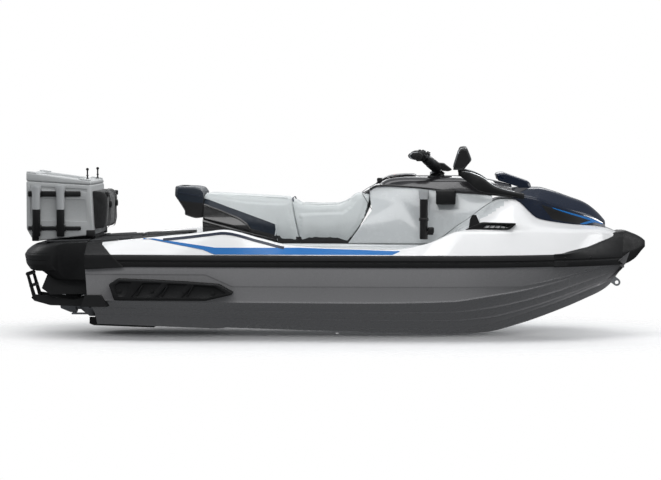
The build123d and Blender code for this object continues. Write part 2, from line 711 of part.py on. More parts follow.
BAR_PATH = [(612, 40, 1008), (560, 190, 1052), (508, 270, 1085), (503, GRIP_END_Y, 1085)]


def steering_column():
    """Steering column through the console's bush."""
    return rod(column_point(-330), column_point(-2), COLUMN_R)


def half_bar(radius):
    """The port half of the handlebar's tube, at any radius."""
    half = rod(BAR_PATH[0], BAR_PATH[1], radius)
    for corner, end in zip(BAR_PATH[1:], BAR_PATH[2:]):
        half += Solid.make_sphere(radius, Plane(corner)) + rod(corner, end, radius)
    return half


def handlebar():
    """Handlebar tube and its clamp on the column."""
    clamp = rod(column_point(-2 + GAP), column_point(14), 34) + box(585, 635, -60, 60, 990, 1018)
    half = half_bar(BAR_R)
    return clamp + half + half.mirror(Plane.XZ)


def grips():
    """Rubber grips on the bar's ends."""
    end = Vector(*BAR_PATH[-1])
    along = (end - Vector(*BAR_PATH[-2])).normalized()
    inner, outer = end - along * 118, end + along * 5
    grip = rod(inner, outer, GRIP_R) + rod(outer - along * 8, outer, GRIP_R + 5)
    return both(grip - rod(inner - along, end + along * RUN, BAR_R + RUN))


def bar_pad():
    """Padded cover over the bar's centre."""
    body = prism_y([(548, 1019), (637, 1019), (637, 994), (678, 990), (702, 1000), (650, 1042), (556, 1046)],
                   -58, 58)
    sleeve = half_bar(BAR_R + GAP)
    return body - sleeve - sleeve.mirror(Plane.XZ)


def lever(side):
    """A finger lever on an upright pin ahead of its pod; side is -1 to starboard."""
    outline = [(540, 246), (556, 240), (566, 262), (556, 330), (546, 372), (538, 370), (544, 320), (542, 268)]
    blade = prism_z([(x, side * y) for x, y in outline], 1077, 1093)
    boss = rod((550, side * 252, 1075), (550, side * 252, 1095), 11)
    return blade + boss - rod((550, side * 252, 1070), (550, side * 252, 1100), LEVER_PIN_R + RUN)


def control_pods():
    """Switch housings inboard of the grips, each with the fork and pin of its lever."""
    pods = []
    for side in (-1, 1):
        low, high = sorted((side * 232, side * 278))
        pod = box(484, 538, low, high, 1055, 1115)
        low, high = sorted((side * 238, side * 268))
        for z in (1066, 1096):
            pod += box(530, 566, low, high, z, z + 8)
        pod += rod((550, side * 252, 1070), (550, side * 252, 1100), LEVER_PIN_R)
        sleeve = half_bar(BAR_R + GAP)
        pods.append(pod - (sleeve if side > 0 else sleeve.mirror(Plane.XZ)))
    pods[1] -= rod((500, 255, 1096), (470, 255, 1096), 9 + RUN)
    return pods


def start_button():
    """Start and stop button on the port switch housing."""
    return rod((500 - 12, 255, 1096), (478, 255, 1096), 9)


# ---- hood -----------------------------------------------------------------------------

HOOD = [    # x, half width, shoulder z, shoulder half width, top z, top half width
    (1060, 240, 858, 236, 888, 150),
    (1120, 240, 850, 234, 893, 150),
    (1218, 240, 830, 226, 893, 140),
    (1300, 218, 800, 204, 874, 124),
    (1404, 190, 770, 172, 838, 104),
    (1500, 150, 740, 134, 802, 84),
    (1590, 110, 700, 96, 732, 60),
    (1622, 90, 680, 78, 694, 50),
]


def hood_ring(x, inset):
    """Section of the hood at x."""
    _, wide, shoulder, shoulder_y, top, top_y = between(HOOD, x)
    row = between(DECK, x)
    crown = row[10] + (row[11] - row[10]) * (1 - (wide - TRIM_WALL) / row[9])
    low = crown + GAP - (30 if inset else 0)
    return [(wide - inset, low), (shoulder_y - inset, shoulder), (top_y, top - inset),
            (-top_y, top - inset), (-shoulder_y + inset, shoulder), (-wide + inset, low)]


hood_outer = loft_x([(row[0], hood_ring(row[0], 0)) for row in HOOD])


def hood():
    """Front storage hood, a hollow shell with its hinge edge at the nose."""
    inner = loft_x([(row[0], hood_ring(row[0], TRIM_WALL)) for row in HOOD])
    inner = inner & box(1060 + TRIM_WALL, 1622 - 12, -300, 300, 500, 1000)
    crest = [(x, between(DECK, x)[11] + GAP) for x in (1404, 1590, 1640)]
    return hood_outer - inner - prism_y([(1404, 500)] + crest + [(1640, 500)], -300, 300)


def display_pod():
    """Instrument housing on the hood's rear edge."""
    outline = [(961, 981), (1001, 989), (1169, 930), (1178, 893 + GAP), (1122, 893 + GAP), (1066, 912), (973, 940)]
    return prism_y(outline, -95, 95)


def storage_bin():
    """Front storage tub in the bow, under the hood."""
    x0, x1, half = BIN_HATCH
    tub = box(x0, x1, -half, half, 440, 700)
    return tub - box(x0 + 4, x1 - 4, -half + 4, half - 4, 444, 701)


MIRROR_PIVOT = (748.0, -392.0)
MIRROR_FOOT_Z = 1006.0
MIRROR_PIN_R = 8.0


def mirror_arms():
    """Mirror arms from the hood's sides, each with the pin its mirror turns on."""
    x, y = MIRROR_PIVOT
    rings = [
        (x - 12, [(y + 12, 978), (y + 12, 998), (y - 14, 998), (y - 14, 978)]),
        (x + 60, [(y + 28, 955), (y + 28, 992), (y - 2, 990), (y - 2, 953)]),
        (930, [(-288, 885), (-288, 952), (-316, 942), (-316, 880)]),
        (1130, [(-225, 830), (-225, 872), (-262, 860), (-262, 824)]),
    ]
    arm = loft_x(rings) - hood_outer
    arm = sorted(arm.solids(), key=lambda solid: solid.volume)[-1]
    return both(arm + rod((x, y, 990), (x, y, MIRROR_FOOT_Z + 14), MIRROR_PIN_R))


def mirror_head():
    """Mirror housing, a raked wedge with a recess for its glass."""
    foot = MIRROR_FOOT_Z
    shell = prism_y([(704, foot), (745, 1136), (787, 1142), (816, 1065), (768, foot)], -500, -358)
    shell -= prism_y([(690, 1010), (709, 1014), (744, 1128), (722, 1134)], -494, -364)
    x, y = MIRROR_PIVOT
    return shell - rod((x, y, foot - 5), (x, y, foot + 15), MIRROR_PIN_R + RUN)


# ---- boarding ladder --------------------------------------------------------------------

LADDER_PIVOT = (-1796.0, 240.0)
LADDER_Y = (-375.0, -155.0)


def ladder_bracket():
    """Two arms from the transom to the ladder's pivot, joined by a foot plate."""
    x, z = LADDER_PIVOT
    plate = box(TRANSOM_X - GAP - 8, TRANSOM_X - GAP, LADDER_Y[0] - 14, LADDER_Y[1] + 14, 180, 262)
    for y in LADDER_Y:
        arm = prism_y([(TRANSOM_X - GAP, 190), (TRANSOM_X - GAP, 250), (-1560, 228), (x, z + 20), (x - 18, z),
                       (x, z - 20), (-1700, 194), (-1560, 190)], y - 5, y + 5)
        plate += arm
    bore = rod((x, LADDER_Y[0] - 20, z), (x, LADDER_Y[1] + 20, z), 8 + RUN)
    return plate - bore


def boarding_ladder():
    """Folding ladder: two rails, a pivot tube and two steps."""
    x, z = LADDER_PIVOT
    y0, y1 = LADDER_Y[0] + 16, LADDER_Y[1] - 16
    top_x, top_z = x - 42, z + 140
    body = rod((x, LADDER_Y[0] - 8, z), (x, LADDER_Y[1] + 8, z), 8)
    for y in (y0, y1):
        body += prism_y([(x + 12, z - 8), (top_x + 8, top_z), (top_x - 8, top_z - 2), (x - 12, z - 6)], y - 6, y + 6)
    body += rod((top_x, y0 - 6, top_z), (top_x, y1 + 6, top_z), 12)
    return body + box(x - 34, x - 10, y0, y1, z + 64, z + 76)


# ---- cooler -------------------------------------------------------------------------------

COOLER_FLOOR = [(-1800, 572), (-1453, 611)]
COOLER_RIM = [(-1862, 934), (-1470, 910)]


def floor_line(x):
    """Height of the cooler's sloping underside."""
    (x0, z0), (x1, z1) = COOLER_FLOOR
    return z0 + (z1 - z0) * (x - x0) / (x1 - x0)


def rim_line(x):
    """Height of the cooler's sloping rim."""
    (x0, z0), (x1, z1) = COOLER_RIM
    return z0 + (z1 - z0) * (x - x0) / (x1 - x0)


def bow_wall(z):
    """Where the cooler's bow side lies at a height, with the pouch's gap."""
    (x0, z0), (x1, z1) = COOLER_FLOOR[1], COOLER_RIM[1]
    return x0 + (x1 - x0) * (z - z0) / (z1 - z0) + GAP


def cooler_base():
    """Wedge-shaped carrier plate between the platform and the cooler."""
    x0, x1 = PLATFORM_TOP[1][0] + 4, PLATFORM_TOP[2][0]
    slope = (PLATFORM_TOP[2][1] - PLATFORM_TOP[1][1]) / (PLATFORM_TOP[2][0] - PLATFORM_TOP[1][0])
    z0 = PLATFORM_TOP[1][1] + slope * 4
    return prism_y([(x0, z0), (x1, PLATFORM_TOP[2][1]), (x1, floor_line(x1) - GAP), (x0, floor_line(x0) - GAP)],
                   -180, 180)


def cooler_body():
    """Insulated cooler tub."""
    outline = COOLER_RIM + [COOLER_FLOOR[1], COOLER_FLOOR[0], (-1825, 582), (-1862, 645)]
    wall = COOLER_WALL
    x0, x1 = -1862 + wall, -1470 - wall
    cavity = [(x0, 1000), (x1, 1000), (x1 + 14, floor_line(x1) + wall), (-1800, floor_line(-1800) + wall),
              (x0, 655)]
    return prism_y(outline, -COOLER_Y, COOLER_Y) - prism_y(cavity, -COOLER_Y + wall, COOLER_Y - wall)


def cooler_lid():
    """Sloping lid with two ball-headed pegs for a net."""
    low = [(x, z + 2 * GAP) for x, z in COOLER_RIM]
    lid = prism_y([low[0], low[1], (-1474, 935), (-1862, 986)], -COOLER_Y, COOLER_Y)
    for x, y in ((-1508, -150), (-1492, 150)):
        lid += rod((x, y, 934), (x, y, 1004), 5) + Solid.make_sphere(9, Plane((x, y, 1004)))
    return lid


def cooler_rack():
    """Two rod tubes and two bars on each side of the cooler."""
    near, far = -COOLER_Y - GAP, -COOLER_Y - 14
    y = -COOLER_Y - GAP - ROD_TUBE_R - 4
    frame = box(-1850, -1530, far, near, 842, 874) + box(-1850, -1530, far, near, 640, 662)
    for x in (-1796, -1650):
        frame += rod((x, y, 602), (x, y, 908), ROD_TUBE_R)
    for x in (-1796, -1650):
        frame -= rod((x, y, 612), (x, y, 912), ROD_R)
    return both(frame)


def cooler_pouch():
    """Soft pouch on the cooler's bow side."""
    return prism_y([(bow_wall(640), 640), (-1385, 652), (-1378, 850), (-1400, 876), (bow_wall(880), 880)], -225, 225)


def cooler_latches():
    """Two strap latches that hang from the lid over the rim."""
    straps = []
    for y in (-120, 120):
        straps.append(box(-HALF_LENGTH, -1862 - GAP, y - 26, y + 26, 872, 972))
    return straps


# ---- fishing fittings and vents -------------------------------------------------------------

HOLDER = (532.0, -305.0)
HOLDER_PIVOT_Z = 856.0


def outside_knee(body):
    """What of a body lies outside the knee shroud and the console."""
    body = body - knee_body(0)
    body -= loft_x([(x, console_ring(x, 0)) for x in CONSOLE_MARKS])
    return sorted(body.solids(), key=lambda solid: solid.volume)[-1]


def rod_bracket():
    """Bracket on the knee shroud that carries the swivelling rod holder."""
    x = HOLDER[0]
    body = outside_knee(box(x - 27, x + 27, -266, -120, 832, 876))
    return body + rod((x, -260, HOLDER_PIVOT_Z), (x, -275, HOLDER_PIVOT_Z), 8)


def rod_holder():
    """Rod tube on its swivel head."""
    x, y = HOLDER
    body = rod((x, y, 592), (x, y, 886), ROD_TUBE_R)
    body += box(x - 26, x + 26, -288, -266 - GAP, 832, 880)
    body -= rod((x, y, 604), (x, y, 900), ROD_R)
    return body - rod((x, -264, HOLDER_PIVOT_Z), (x, -276, HOLDER_PIVOT_Z), 8 + RUN)


def tool_box():
    """Open-topped tackle box on the knee shroud."""
    body = outside_knee(box(604, 722, -300, -120, 797, 886))
    return body - box(609, 717, -295, -214, 802, 890)


def air_vents():
    """Louvred air inlets in the bow flanks."""
    vent = prism_y([(772, 655), (875, 700), (1082, 694), (1040, 658)], -462, -330) - deck_outer
    vent = sorted(vent.solids(), key=lambda solid: solid.volume)[-1]
    return both(vent)


# ---- write every node ---------------------------------------------------------------------

NODES = {
    "hull_shell": hull_shell,
    "deck_shell": deck_shell,
    "rub_rails": rub_rails,
    "bow_bumper": bow_bumper,
    "stern_platform": stern_platform,
    "deck_mats": deck_mats,
    "chine_guards": chine_guards,
    "tow_eyes": tow_eyes,
    "sponsons": sponsons,
    "sponson_bolts": sponson_bolts,
    "pump_tunnel": pump_tunnel,
    "ride_plate": ride_plate,
    "intake_grate": intake_grate,
    "pump_housing": pump_housing,
    "steering_nozzle": steering_nozzle,
    "reverse_bucket": reverse_bucket,
    "impeller": impeller,
    "drive_shaft": drive_shaft,
    "engine_block": engine_block,
    "engine_mounts": engine_mounts,
    "air_box": air_box,
    "exhaust_muffler": exhaust_muffler,
    "fuel_tank": fuel_tank,
    "battery": battery,
    "bearings": bearings,
    "front_seat_base": front_seat_base,
    "front_seat": front_seat,
    "rear_seat_base": rear_seat_base,
    "rear_seat": rear_seat,
    "grab_handle": grab_handle,
    "pedestal_trim": pedestal_trim,
    "knee_shroud": knee_shroud,
    "console_shell": console_shell,
    "glovebox_lid": glovebox_lid,
    "steering_column": steering_column,
    "handlebar": handlebar,
    "grips": grips,
    "bar_pad": bar_pad,
    "control_pods": control_pods,
    "throttle_lever": lambda: lever(-1),
    "brake_lever": lambda: lever(1),
    "start_button": start_button,
    "hood": hood,
    "display_pod": display_pod,
    "storage_bin": storage_bin,
    "mirror_arms": mirror_arms,
    "mirror_right": mirror_head,
    "mirror_left": lambda: mirror_head().mirror(Plane.XZ),
    "ladder_bracket": ladder_bracket,
    "boarding_ladder": boarding_ladder,
    "cooler_base": cooler_base,
    "cooler_body": cooler_body,
    "cooler_lid": cooler_lid,
    "cooler_rack": cooler_rack,
    "cooler_pouch": cooler_pouch,
    "cooler_latches": cooler_latches,
    "rod_bracket": rod_bracket,
    "rod_holder": rod_holder,
    "tool_box": tool_box,
    "air_vents": air_vents,
}

os.makedirs("parts", exist_ok=True)
for node, make in NODES.items():
    save(node, make())
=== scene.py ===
import math

import bmesh
import bpy
import numpy as np
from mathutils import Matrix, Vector


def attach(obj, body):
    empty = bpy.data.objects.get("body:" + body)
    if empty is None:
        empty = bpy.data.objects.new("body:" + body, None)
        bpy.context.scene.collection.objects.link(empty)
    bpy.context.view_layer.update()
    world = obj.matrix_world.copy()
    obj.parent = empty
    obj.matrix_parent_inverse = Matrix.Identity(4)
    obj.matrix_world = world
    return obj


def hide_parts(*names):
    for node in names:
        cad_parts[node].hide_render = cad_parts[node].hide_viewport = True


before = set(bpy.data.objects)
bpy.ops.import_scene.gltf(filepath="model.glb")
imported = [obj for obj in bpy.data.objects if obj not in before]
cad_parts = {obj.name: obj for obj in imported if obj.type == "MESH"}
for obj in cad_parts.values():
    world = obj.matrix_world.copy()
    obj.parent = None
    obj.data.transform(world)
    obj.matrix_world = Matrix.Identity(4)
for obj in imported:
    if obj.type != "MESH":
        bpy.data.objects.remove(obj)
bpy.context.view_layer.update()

# Design sizes are in millimetres here, as in the CAD source; every mesh is made in metres.
MM = 0.001
SIDE_Y = 613.5
TRANSOM_X = -1457.0
STEM_X = 1727.0
BOND_Z = 470.0
RAIL_LOW = 440.0
RAIL_HIGH = 510.0
RAIL_THICK = 14.0
PEDESTAL_Z = 562.0
TUNNEL_Y = 105.0
TUNNEL_TOP = 330.0
TUNNEL_FRONT_X = -720.0
SEAT_LEAN = 0.22
SEAT_SPLIT_X = -210.0
COLUMN_TILT = math.radians(20)
COLUMN_TOP = (600, 0, 985)
COLUMN_AXIS = (-math.sin(COLUMN_TILT), 0, math.cos(COLUMN_TILT))
SEAT_REST_SLOPE = (703 - 587) / (-800 + 346)     # the rear seat's underside, towards the stern

# x, keel z, chine y share, chine z, rail y share
HULL = [
    (-1457, 58, 0.815, 236, 0.954), (-700, 32, 0.815, 226, 0.986), (200, 8, 0.815, 223, 1.0),
    (700, 0, 0.790, 233, 0.978), (900, 10, 0.733, 260, 0.945), (1100, 60, 0.636, 290, 0.864),
    (1350, 150, 0.465, 345, 0.700), (1500, 215, 0.326, 385, 0.562), (1640, 290, 0.179, 415, 0.383),
    (1727, 400, 0.065, 428, 0.212),
]
# x, then (y, z) of gunwale outside, gunwale inside, footwell outside, footwell inside, pedestal, centre z
DECK = [
    (-1457, 505, 568, 465, 572, 430, 574, 300, 576, 240, 578, 580),
    (-1070, 520, 609, 485, 609, 450, 592, 300, 592, 240, 592, 592),
    (-880, 522, 628, 487, 628, 470, 600, 300, 600, 240, 604, 604),
    (-720, 523, 647, 488, 647, 462, 380, 290, 380, 236, 562, 562),
    (-647, 523, 655, 488, 655, 462, 380, 290, 380, 236, 562, 562),
    (-424, 523, 605, 488, 605, 462, 380, 290, 380, 236, 562, 562),
    (-259, 523, 566, 488, 566, 462, 380, 290, 380, 236, 562, 562),
    (0, 523, 549, 488, 549, 462, 380, 290, 380, 236, 562, 562),
    (351, 523, 540, 488, 540, 462, 380, 290, 380, 236, 562, 562),
    (540, 516, 572, 484, 572, 462, 380, 290, 380, 236, 562, 562),
    (760, 500, 648, 468, 652, 440, 658, 330, 668, 242, 690, 690),
    (1000, 468, 640, 450, 655, 428, 700, 340, 770, 246, 832, 832),
    (1060, 455, 640, 440, 655, 420, 695, 335, 765, 246, 832, 832),
    (1218, 400, 640, 385, 650, 360, 668, 310, 688, 246, 712, 722),
    (1404, 330, 635, 315, 643, 290, 654, 245, 666, 196, 680, 690),
    (1590, 215, 630, 200, 636, 180, 644, 150, 652, 116, 662, 668),
    (1700, 120, 600, 108, 606, 95, 611, 75, 616, 50, 621, 625),
    (1727, 105, 585, 95, 590, 80, 594, 62, 598, 40, 602, 605),
]
# x, half width, shoulder z, shoulder half width, top z, top half width
HOOD = [
    (1060, 240, 858, 236, 888, 150), (1120, 240, 850, 234, 893, 150), (1218, 240, 830, 226, 893, 140),
    (1300, 218, 800, 204, 874, 124), (1404, 190, 770, 172, 838, 104), (1500, 150, 740, 134, 802, 84),
    (1590, 110, 700, 96, 732, 60), (1622, 90, 680, 78, 694, 50),
]
KNEE_TOP = [(60, 868), (205, 884), (238, 903), (300, 904), (365, 900),
            (572, 882), (692, 867), (872, 856), (940, 850), (1057, 838)]
KNEE_HALF = [(60, 150), (365, 165), (692, 190), (1060, 236)]
CONSOLE_TOP = [(205, 896), (240, 916), (329, 955), (426, 963), (722, 963), (900, 945), (1057, 908)]
BUMPER_CREST = [(1300, 512), (1356, 516), (1500, 566), (1598, 602), (1712, 636), (1727, 634)]


# ---- curves and interpolation ----------------------------------------------------------------


def through(table):
    """A function that runs smoothly through the table's rows, without overshoot."""
    data = np.array(table, float)
    xs, ys = data[:, 0], data[:, 1:]
    step = np.diff(xs)[:, None]
    slope = np.diff(ys, axis=0) / step
    tangent = np.zeros_like(ys)
    tangent[0], tangent[-1] = slope[0], slope[-1]
    if len(xs) > 2:
        w1, w2 = 2 * step[1:] + step[:-1], step[1:] + 2 * step[:-1]
        same = slope[:-1] * slope[1:] > 0
        safe0 = np.where(same, slope[:-1], 1)
        safe1 = np.where(same, slope[1:], 1)
        tangent[1:-1] = np.where(same, (w1 + w2) / (w1 / safe0 + w2 / safe1), 0)

    def at(x):
        x = min(max(x, xs[0]), xs[-1])
        i = int(min(max(np.searchsorted(xs, x) - 1, 0), len(xs) - 2))
        h = step[i, 0]
        t = (x - xs[i]) / h
        a, b = ys[i] * (2 * t**3 - 3 * t**2 + 1), tangent[i] * h * (t**3 - 2 * t**2 + t)
        c, d = ys[i + 1] * (3 * t**2 - 2 * t**3), tangent[i + 1] * h * (t**3 - t**2)
        return [float(v) for v in a + b + c + d]

    return at


def line_at(table, x):
    """The table's first value at x, in straight lines between its rows."""
    return float(np.interp(x, [row[0] for row in table], [row[1] for row in table]))


def spaced(start, end, step, extra=()):
    """Evenly spaced stations, with some extra ones."""
    count = max(2, round(abs(end - start) / step) + 1)
    return sorted({round(float(x), 3) for x in np.linspace(start, end, count)} | {float(x) for x in extra})


def rounded(path, radius, steps=4, closed=False):
    """The path with each corner turned through a short curve; radius is one number or one for each corner."""
    points = [Vector(p) for p in path]
    radii = radius if isinstance(radius, (list, tuple)) else [radius] * len(points)
    result = []
    for i, point in enumerate(points):
        if not closed and i in (0, len(points) - 1):
            result.append(point)
            continue
        before, after = points[i - 1] - point, points[(i + 1) % len(points)] - point
        start = point + before.normalized() * min(radii[i], before.length * 0.47)
        end = point + after.normalized() * min(radii[i], after.length * 0.47)
        for k in range(steps + 1):
            t = k / steps
            result.append(start * (1 - t) ** 2 + point * (2 * t * (1 - t)) + end * t**2)
    return result


def soft_outline(points, radius, steps=4):
    """A closed outline with its corners rounded, as pairs."""
    return [tuple(p) for p in rounded(points, radius, steps, closed=True)]


def section(x, pairs):
    """Points of a section across the craft, from (half width, z) pairs."""
    return [Vector((x, y, z)) for y, z in pairs]


def whole(half, meets=True):
    """A half section and its mirror image; meets says that its last point lies on the centre line."""
    return half + [Vector((p.x, -p.y, p.z)) for p in reversed(half[:-1] if meets else half)]


# ---- meshes ----------------------------------------------------------------------------------


def skin(rows, closed=False, caps=False):
    """Quads over rows of points; closed joins each row's ends, caps fills the first and last row."""
    count = len(rows[0])
    verts = [tuple(p) for row in rows for p in row]
    faces = []
    for r in range(len(rows) - 1):
        for c in range(count if closed else count - 1):
            a, b = r * count + c, r * count + (c + 1) % count
            faces.append((a, b, b + count, a + count))
    if caps:
        faces.append(tuple(range(count)))
        faces.append(tuple(range(len(verts) - count, len(verts))))
    return verts, faces


def slab(outline, low, high, axis="y"):
    """A closed prism: an outline in the two other axes, carried along one axis."""
    orders = {"x": lambda a, b, c: (c, a, b), "y": lambda a, b, c: (a, c, b), "z": lambda a, b, c: (a, b, c)}
    order = orders[axis]
    return skin([[order(a, b, level) for a, b in outline] for level in (low, high)], closed=True, caps=True)


def block(x0, x1, y0, y1, z0, z1):
    """A closed box, to be bevelled or cut with."""
    return slab([(x0, y0), (x1, y0), (x1, y1), (x0, y1)], z0, z1, "z")


def pipe(points, radius, sides=14, caps=True):
    """A round tube along points; radius is one number or one for each point."""
    path = [Vector(p) for p in points]
    radii = radius if isinstance(radius, (list, tuple)) else [radius] * len(path)
    rows, up = [], None
    for i, point in enumerate(path):
        along = (path[min(i + 1, len(path) - 1)] - path[max(i - 1, 0)]).normalized()
        up = along.orthogonal().normalized() if up is None else (up - along * up.dot(along)).normalized()
        side = along.cross(up)
        turns = [2 * math.pi * k / sides for k in range(sides)]
        rows.append([point + (up * math.cos(a) + side * math.sin(a)) * radii[i] for a in turns])
    return skin(rows, closed=True, caps=caps)


def lathe(base, axis, profile, sides=32):
    """A closed solid turned about an axis; profile is (reach, radius) pairs, all round a section."""
    base, axis = Vector(base), Vector(axis).normalized()
    up = axis.orthogonal().normalized()
    side = axis.cross(up)
    rows = []
    for k in range(sides):
        a = 2 * math.pi * k / sides
        out = up * math.cos(a) + side * math.sin(a)
        rows.append([base + axis * reach + out * radius for reach, radius in profile])
    return skin(rows + [rows[0]], closed=True)


def joined(*parts):
    """Several meshes as one."""
    verts, faces = [], []
    for part_verts, part_faces in parts:
        start = len(verts)
        verts += list(part_verts)
        faces += [tuple(i + start for i in face) for face in part_faces]
    return verts, faces


def flipped(shape):
    """The mirror image of a mesh across the centre plane."""
    verts, faces = shape
    return [(x, -y, z) for x, y, z in verts], [tuple(reversed(face)) for face in faces]


def both(shape):
    """A mesh and its mirror image."""
    return joined(shape, flipped(shape))


def raw(name, shape):
    """A Blender object from a mesh in millimetres, with no material yet."""
    verts, faces = shape
    mesh = bpy.data.meshes.new(name)
    mesh.from_pydata([(x * MM, y * MM, z * MM) for x, y, z in verts], [], faces)
    work = bmesh.new()
    work.from_mesh(mesh)
    bmesh.ops.remove_doubles(work, verts=work.verts, dist=0.00002)
    bmesh.ops.recalc_face_normals(work, faces=work.faces)
    work.to_mesh(mesh)
    work.free()
    mesh.validate()
    obj = bpy.data.objects.new(name, mesh)
    bpy.context.scene.collection.objects.link(obj)
    return obj


def applied(obj):
    """Turn an object's modifiers into its mesh."""
    graph = bpy.context.evaluated_depsgraph_get()
    mesh = bpy.data.meshes.new_from_object(obj.evaluated_get(graph))
    obj.modifiers.clear()
    old, obj.data = obj.data, mesh
    bpy.data.meshes.remove(old)
    return obj


def modify(obj, kind, **settings):
    """Add one modifier with its settings and apply it."""
    modifier = obj.modifiers.new(kind.lower(), kind)
    for key, value in settings.items():
        setattr(modifier, key, value)
    return applied(obj)


def thicken(obj, wall, inside):
    """Give an open skin a wall, in millimetres, on the side of an inside point."""
    centre = Vector(inside) * MM
    facing = sum(p.area * p.normal.dot(Vector(p.center) - centre) for p in obj.data.polygons)
    if facing < 0:
        obj.data.flip_normals()
    return modify(obj, "SOLIDIFY", thickness=wall * MM, offset=-1.0, use_even_offset=True)


def cut(obj, *shapes, operation="DIFFERENCE"):
    """Cut meshes out of an object, or join or intersect them with it."""
    for shape in shapes:
        cutter = raw("cutter", shape)
        modify(obj, "BOOLEAN", operation=operation, object=cutter, solver="EXACT")
        mesh = cutter.data
        bpy.data.objects.remove(cutter)
        bpy.data.meshes.remove(mesh)
    return obj


def bevel(obj, width, segments=3, angle=32):
    """Round an object's sharp edges."""
    return modify(obj, "BEVEL", width=width * MM, segments=segments, limit_method="ANGLE",
                  angle_limit=math.radians(angle), use_clamp_overlap=True)


def mesh_of(obj):
    """An object's mesh in millimetres; the object is removed."""
    made = ([tuple(v.co / MM) for v in obj.data.vertices], [tuple(p.vertices) for p in obj.data.polygons])
    bpy.data.objects.remove(obj)
    return made


def soft_block(x0, x1, y0, y1, z0, z1, radius=3.0, segments=2):
    """A box with rounded edges, as a mesh."""
    return mesh_of(bevel(raw("part", block(x0, x1, y0, y1, z0, z1)), radius, segments))


def dress(obj, finish, body, nodes=(), sharp=38):
    """Give an object its material and shading, and say what it rides on and stands for."""
    if not isinstance(finish, (list, tuple)):
        finish = [finish]
    obj.data.materials.clear()
    for each in finish:
        obj.data.materials.append(each)
    obj.data.shade_smooth()
    obj.data.set_sharp_from_angle(angle=math.radians(sharp))
    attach(obj, body)
    if nodes:
        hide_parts(*nodes)
    return obj


def piece(name, shape, finish, body="craft", nodes=(), soften=0, segments=3, sharp=38, angle=32):
    """A finished piece from a mesh, its edges rounded."""
    obj = raw(name, shape)
    if soften:
        bevel(obj, soften, segments, angle)
    return dress(obj, finish, body, nodes, sharp)


# ---- materials -------------------------------------------------------------------------------


def rgb(red, green, blue):
    """A linear colour from 0 to 255 screen values."""
    channels = [c / 255 for c in (red, green, blue)]
    return tuple(c / 12.92 if c <= 0.04045 else ((c + 0.055) / 1.055) ** 2.4 for c in channels) + (1.0,)


def scaled(colour, factor):
    """A lighter or darker shade of a colour."""
    return tuple(min(1.0, c * factor) for c in colour[:3]) + (1.0,)


class Finish:
    """A material whose nodes are added with short calls."""

    def __init__(self, name, **settings):
        self.material = bpy.data.materials.new(name)
        self.material.use_nodes = True
        self.tree = self.material.node_tree
        self.shader = self.tree.nodes["Principled BSDF"]
        self.coords = self.node("ShaderNodeTexCoord").outputs["Object"]
        for key, value in settings.items():
            self.shader.inputs[key.replace("_", " ")].default_value = value

    def node(self, kind, inputs=(), **settings):
        """A node with its settings, and its inputs as values or links."""
        node = self.tree.nodes.new(kind)
        for key, value in settings.items():
            setattr(node, key, value)
        for key, value in dict(inputs).items():
            if isinstance(value, bpy.types.NodeSocket):
                self.tree.links.new(value, node.inputs[key])
            else:
                node.inputs[key].default_value = value
        return node

    def link(self, value, socket):
        """Feed a shader socket."""
        self.tree.links.new(value, self.shader.inputs[socket])

    def stretched(self, x=1.0, y=1.0, z=1.0, turn=0.0):
        """Object coordinates, scaled along each axis."""
        return self.node("ShaderNodeMapping", {"Vector": self.coords, "Scale": (x, y, z),
                                               "Rotation": (0, turn, 0)}).outputs[0]

    def noise(self, scale, detail=3.0, coords=None, rough=0.55):
        """Smooth noise from 0 to 1."""
        return self.node("ShaderNodeTexNoise", {"Vector": coords or self.coords, "Scale": scale,
                                                "Detail": detail, "Roughness": rough}).outputs[0]

    def cells(self, scale, coords=None, feature="F1"):
        """Distance to the nearest cell point, or to the cell's edge."""
        return self.node("ShaderNodeTexVoronoi", {"Vector": coords or self.coords, "Scale": scale},
                         feature=feature).outputs["Distance"]

    def math(self, operation, a, b=0.0, clamp=False):
        """One sum of two values."""
        node = self.node("ShaderNodeMath", {0: a, 1: b}, operation=operation, use_clamp=clamp)
        return node.outputs[0]

    def ranged(self, value, low, high, to_low=0.0, to_high=1.0, smooth=False):
        """A value carried from one range to another, held at the ends."""
        kind = "SMOOTHSTEP" if smooth else "LINEAR"
        return self.node("ShaderNodeMapRange", {"Value": value, "From Min": low, "From Max": high,
                                                "To Min": to_low, "To Max": to_high},
                         interpolation_type=kind).outputs[0]

    def mix(self, share, a, b):
        """Two colours mixed by a share."""
        node = self.node("ShaderNodeMix", {0: share, 6: a, 7: b}, data_type="RGBA")
        return node.outputs[2]

    def axis(self, letter):
        """One of the object's own coordinates, in metres."""
        return self.node("ShaderNodeSeparateXYZ", {0: self.coords}).outputs[letter]

    def side_of(self, point, normal, blur=0.0006):
        """1 on the side of an x-z line that the normal points to, and 0 on the other."""
        nx, nz = normal
        length = math.hypot(nx, nz)
        along = self.math("MULTIPLY", self.axis("X"), nx / length)
        across = self.math("MULTIPLY", self.axis("Z"), nz / length)
        start = (point[0] * nx + point[1] * nz) / length * MM
        distance = self.math("SUBTRACT", self.math("ADD", along, across), start)
        return self.ranged(distance, -blur, blur)

    def bump(self, *layers):
        """Bump from (height, strength, distance in metres) layers, one over the other."""
        normal = None
        for height, strength, distance in layers:
            inputs = {"Height": height, "Strength": strength, "Distance": distance}
            if normal is not None:
                inputs["Normal"] = normal
            normal = self.node("ShaderNodeBump", inputs).outputs[0]
        self.link(normal, "Normal")
        return self


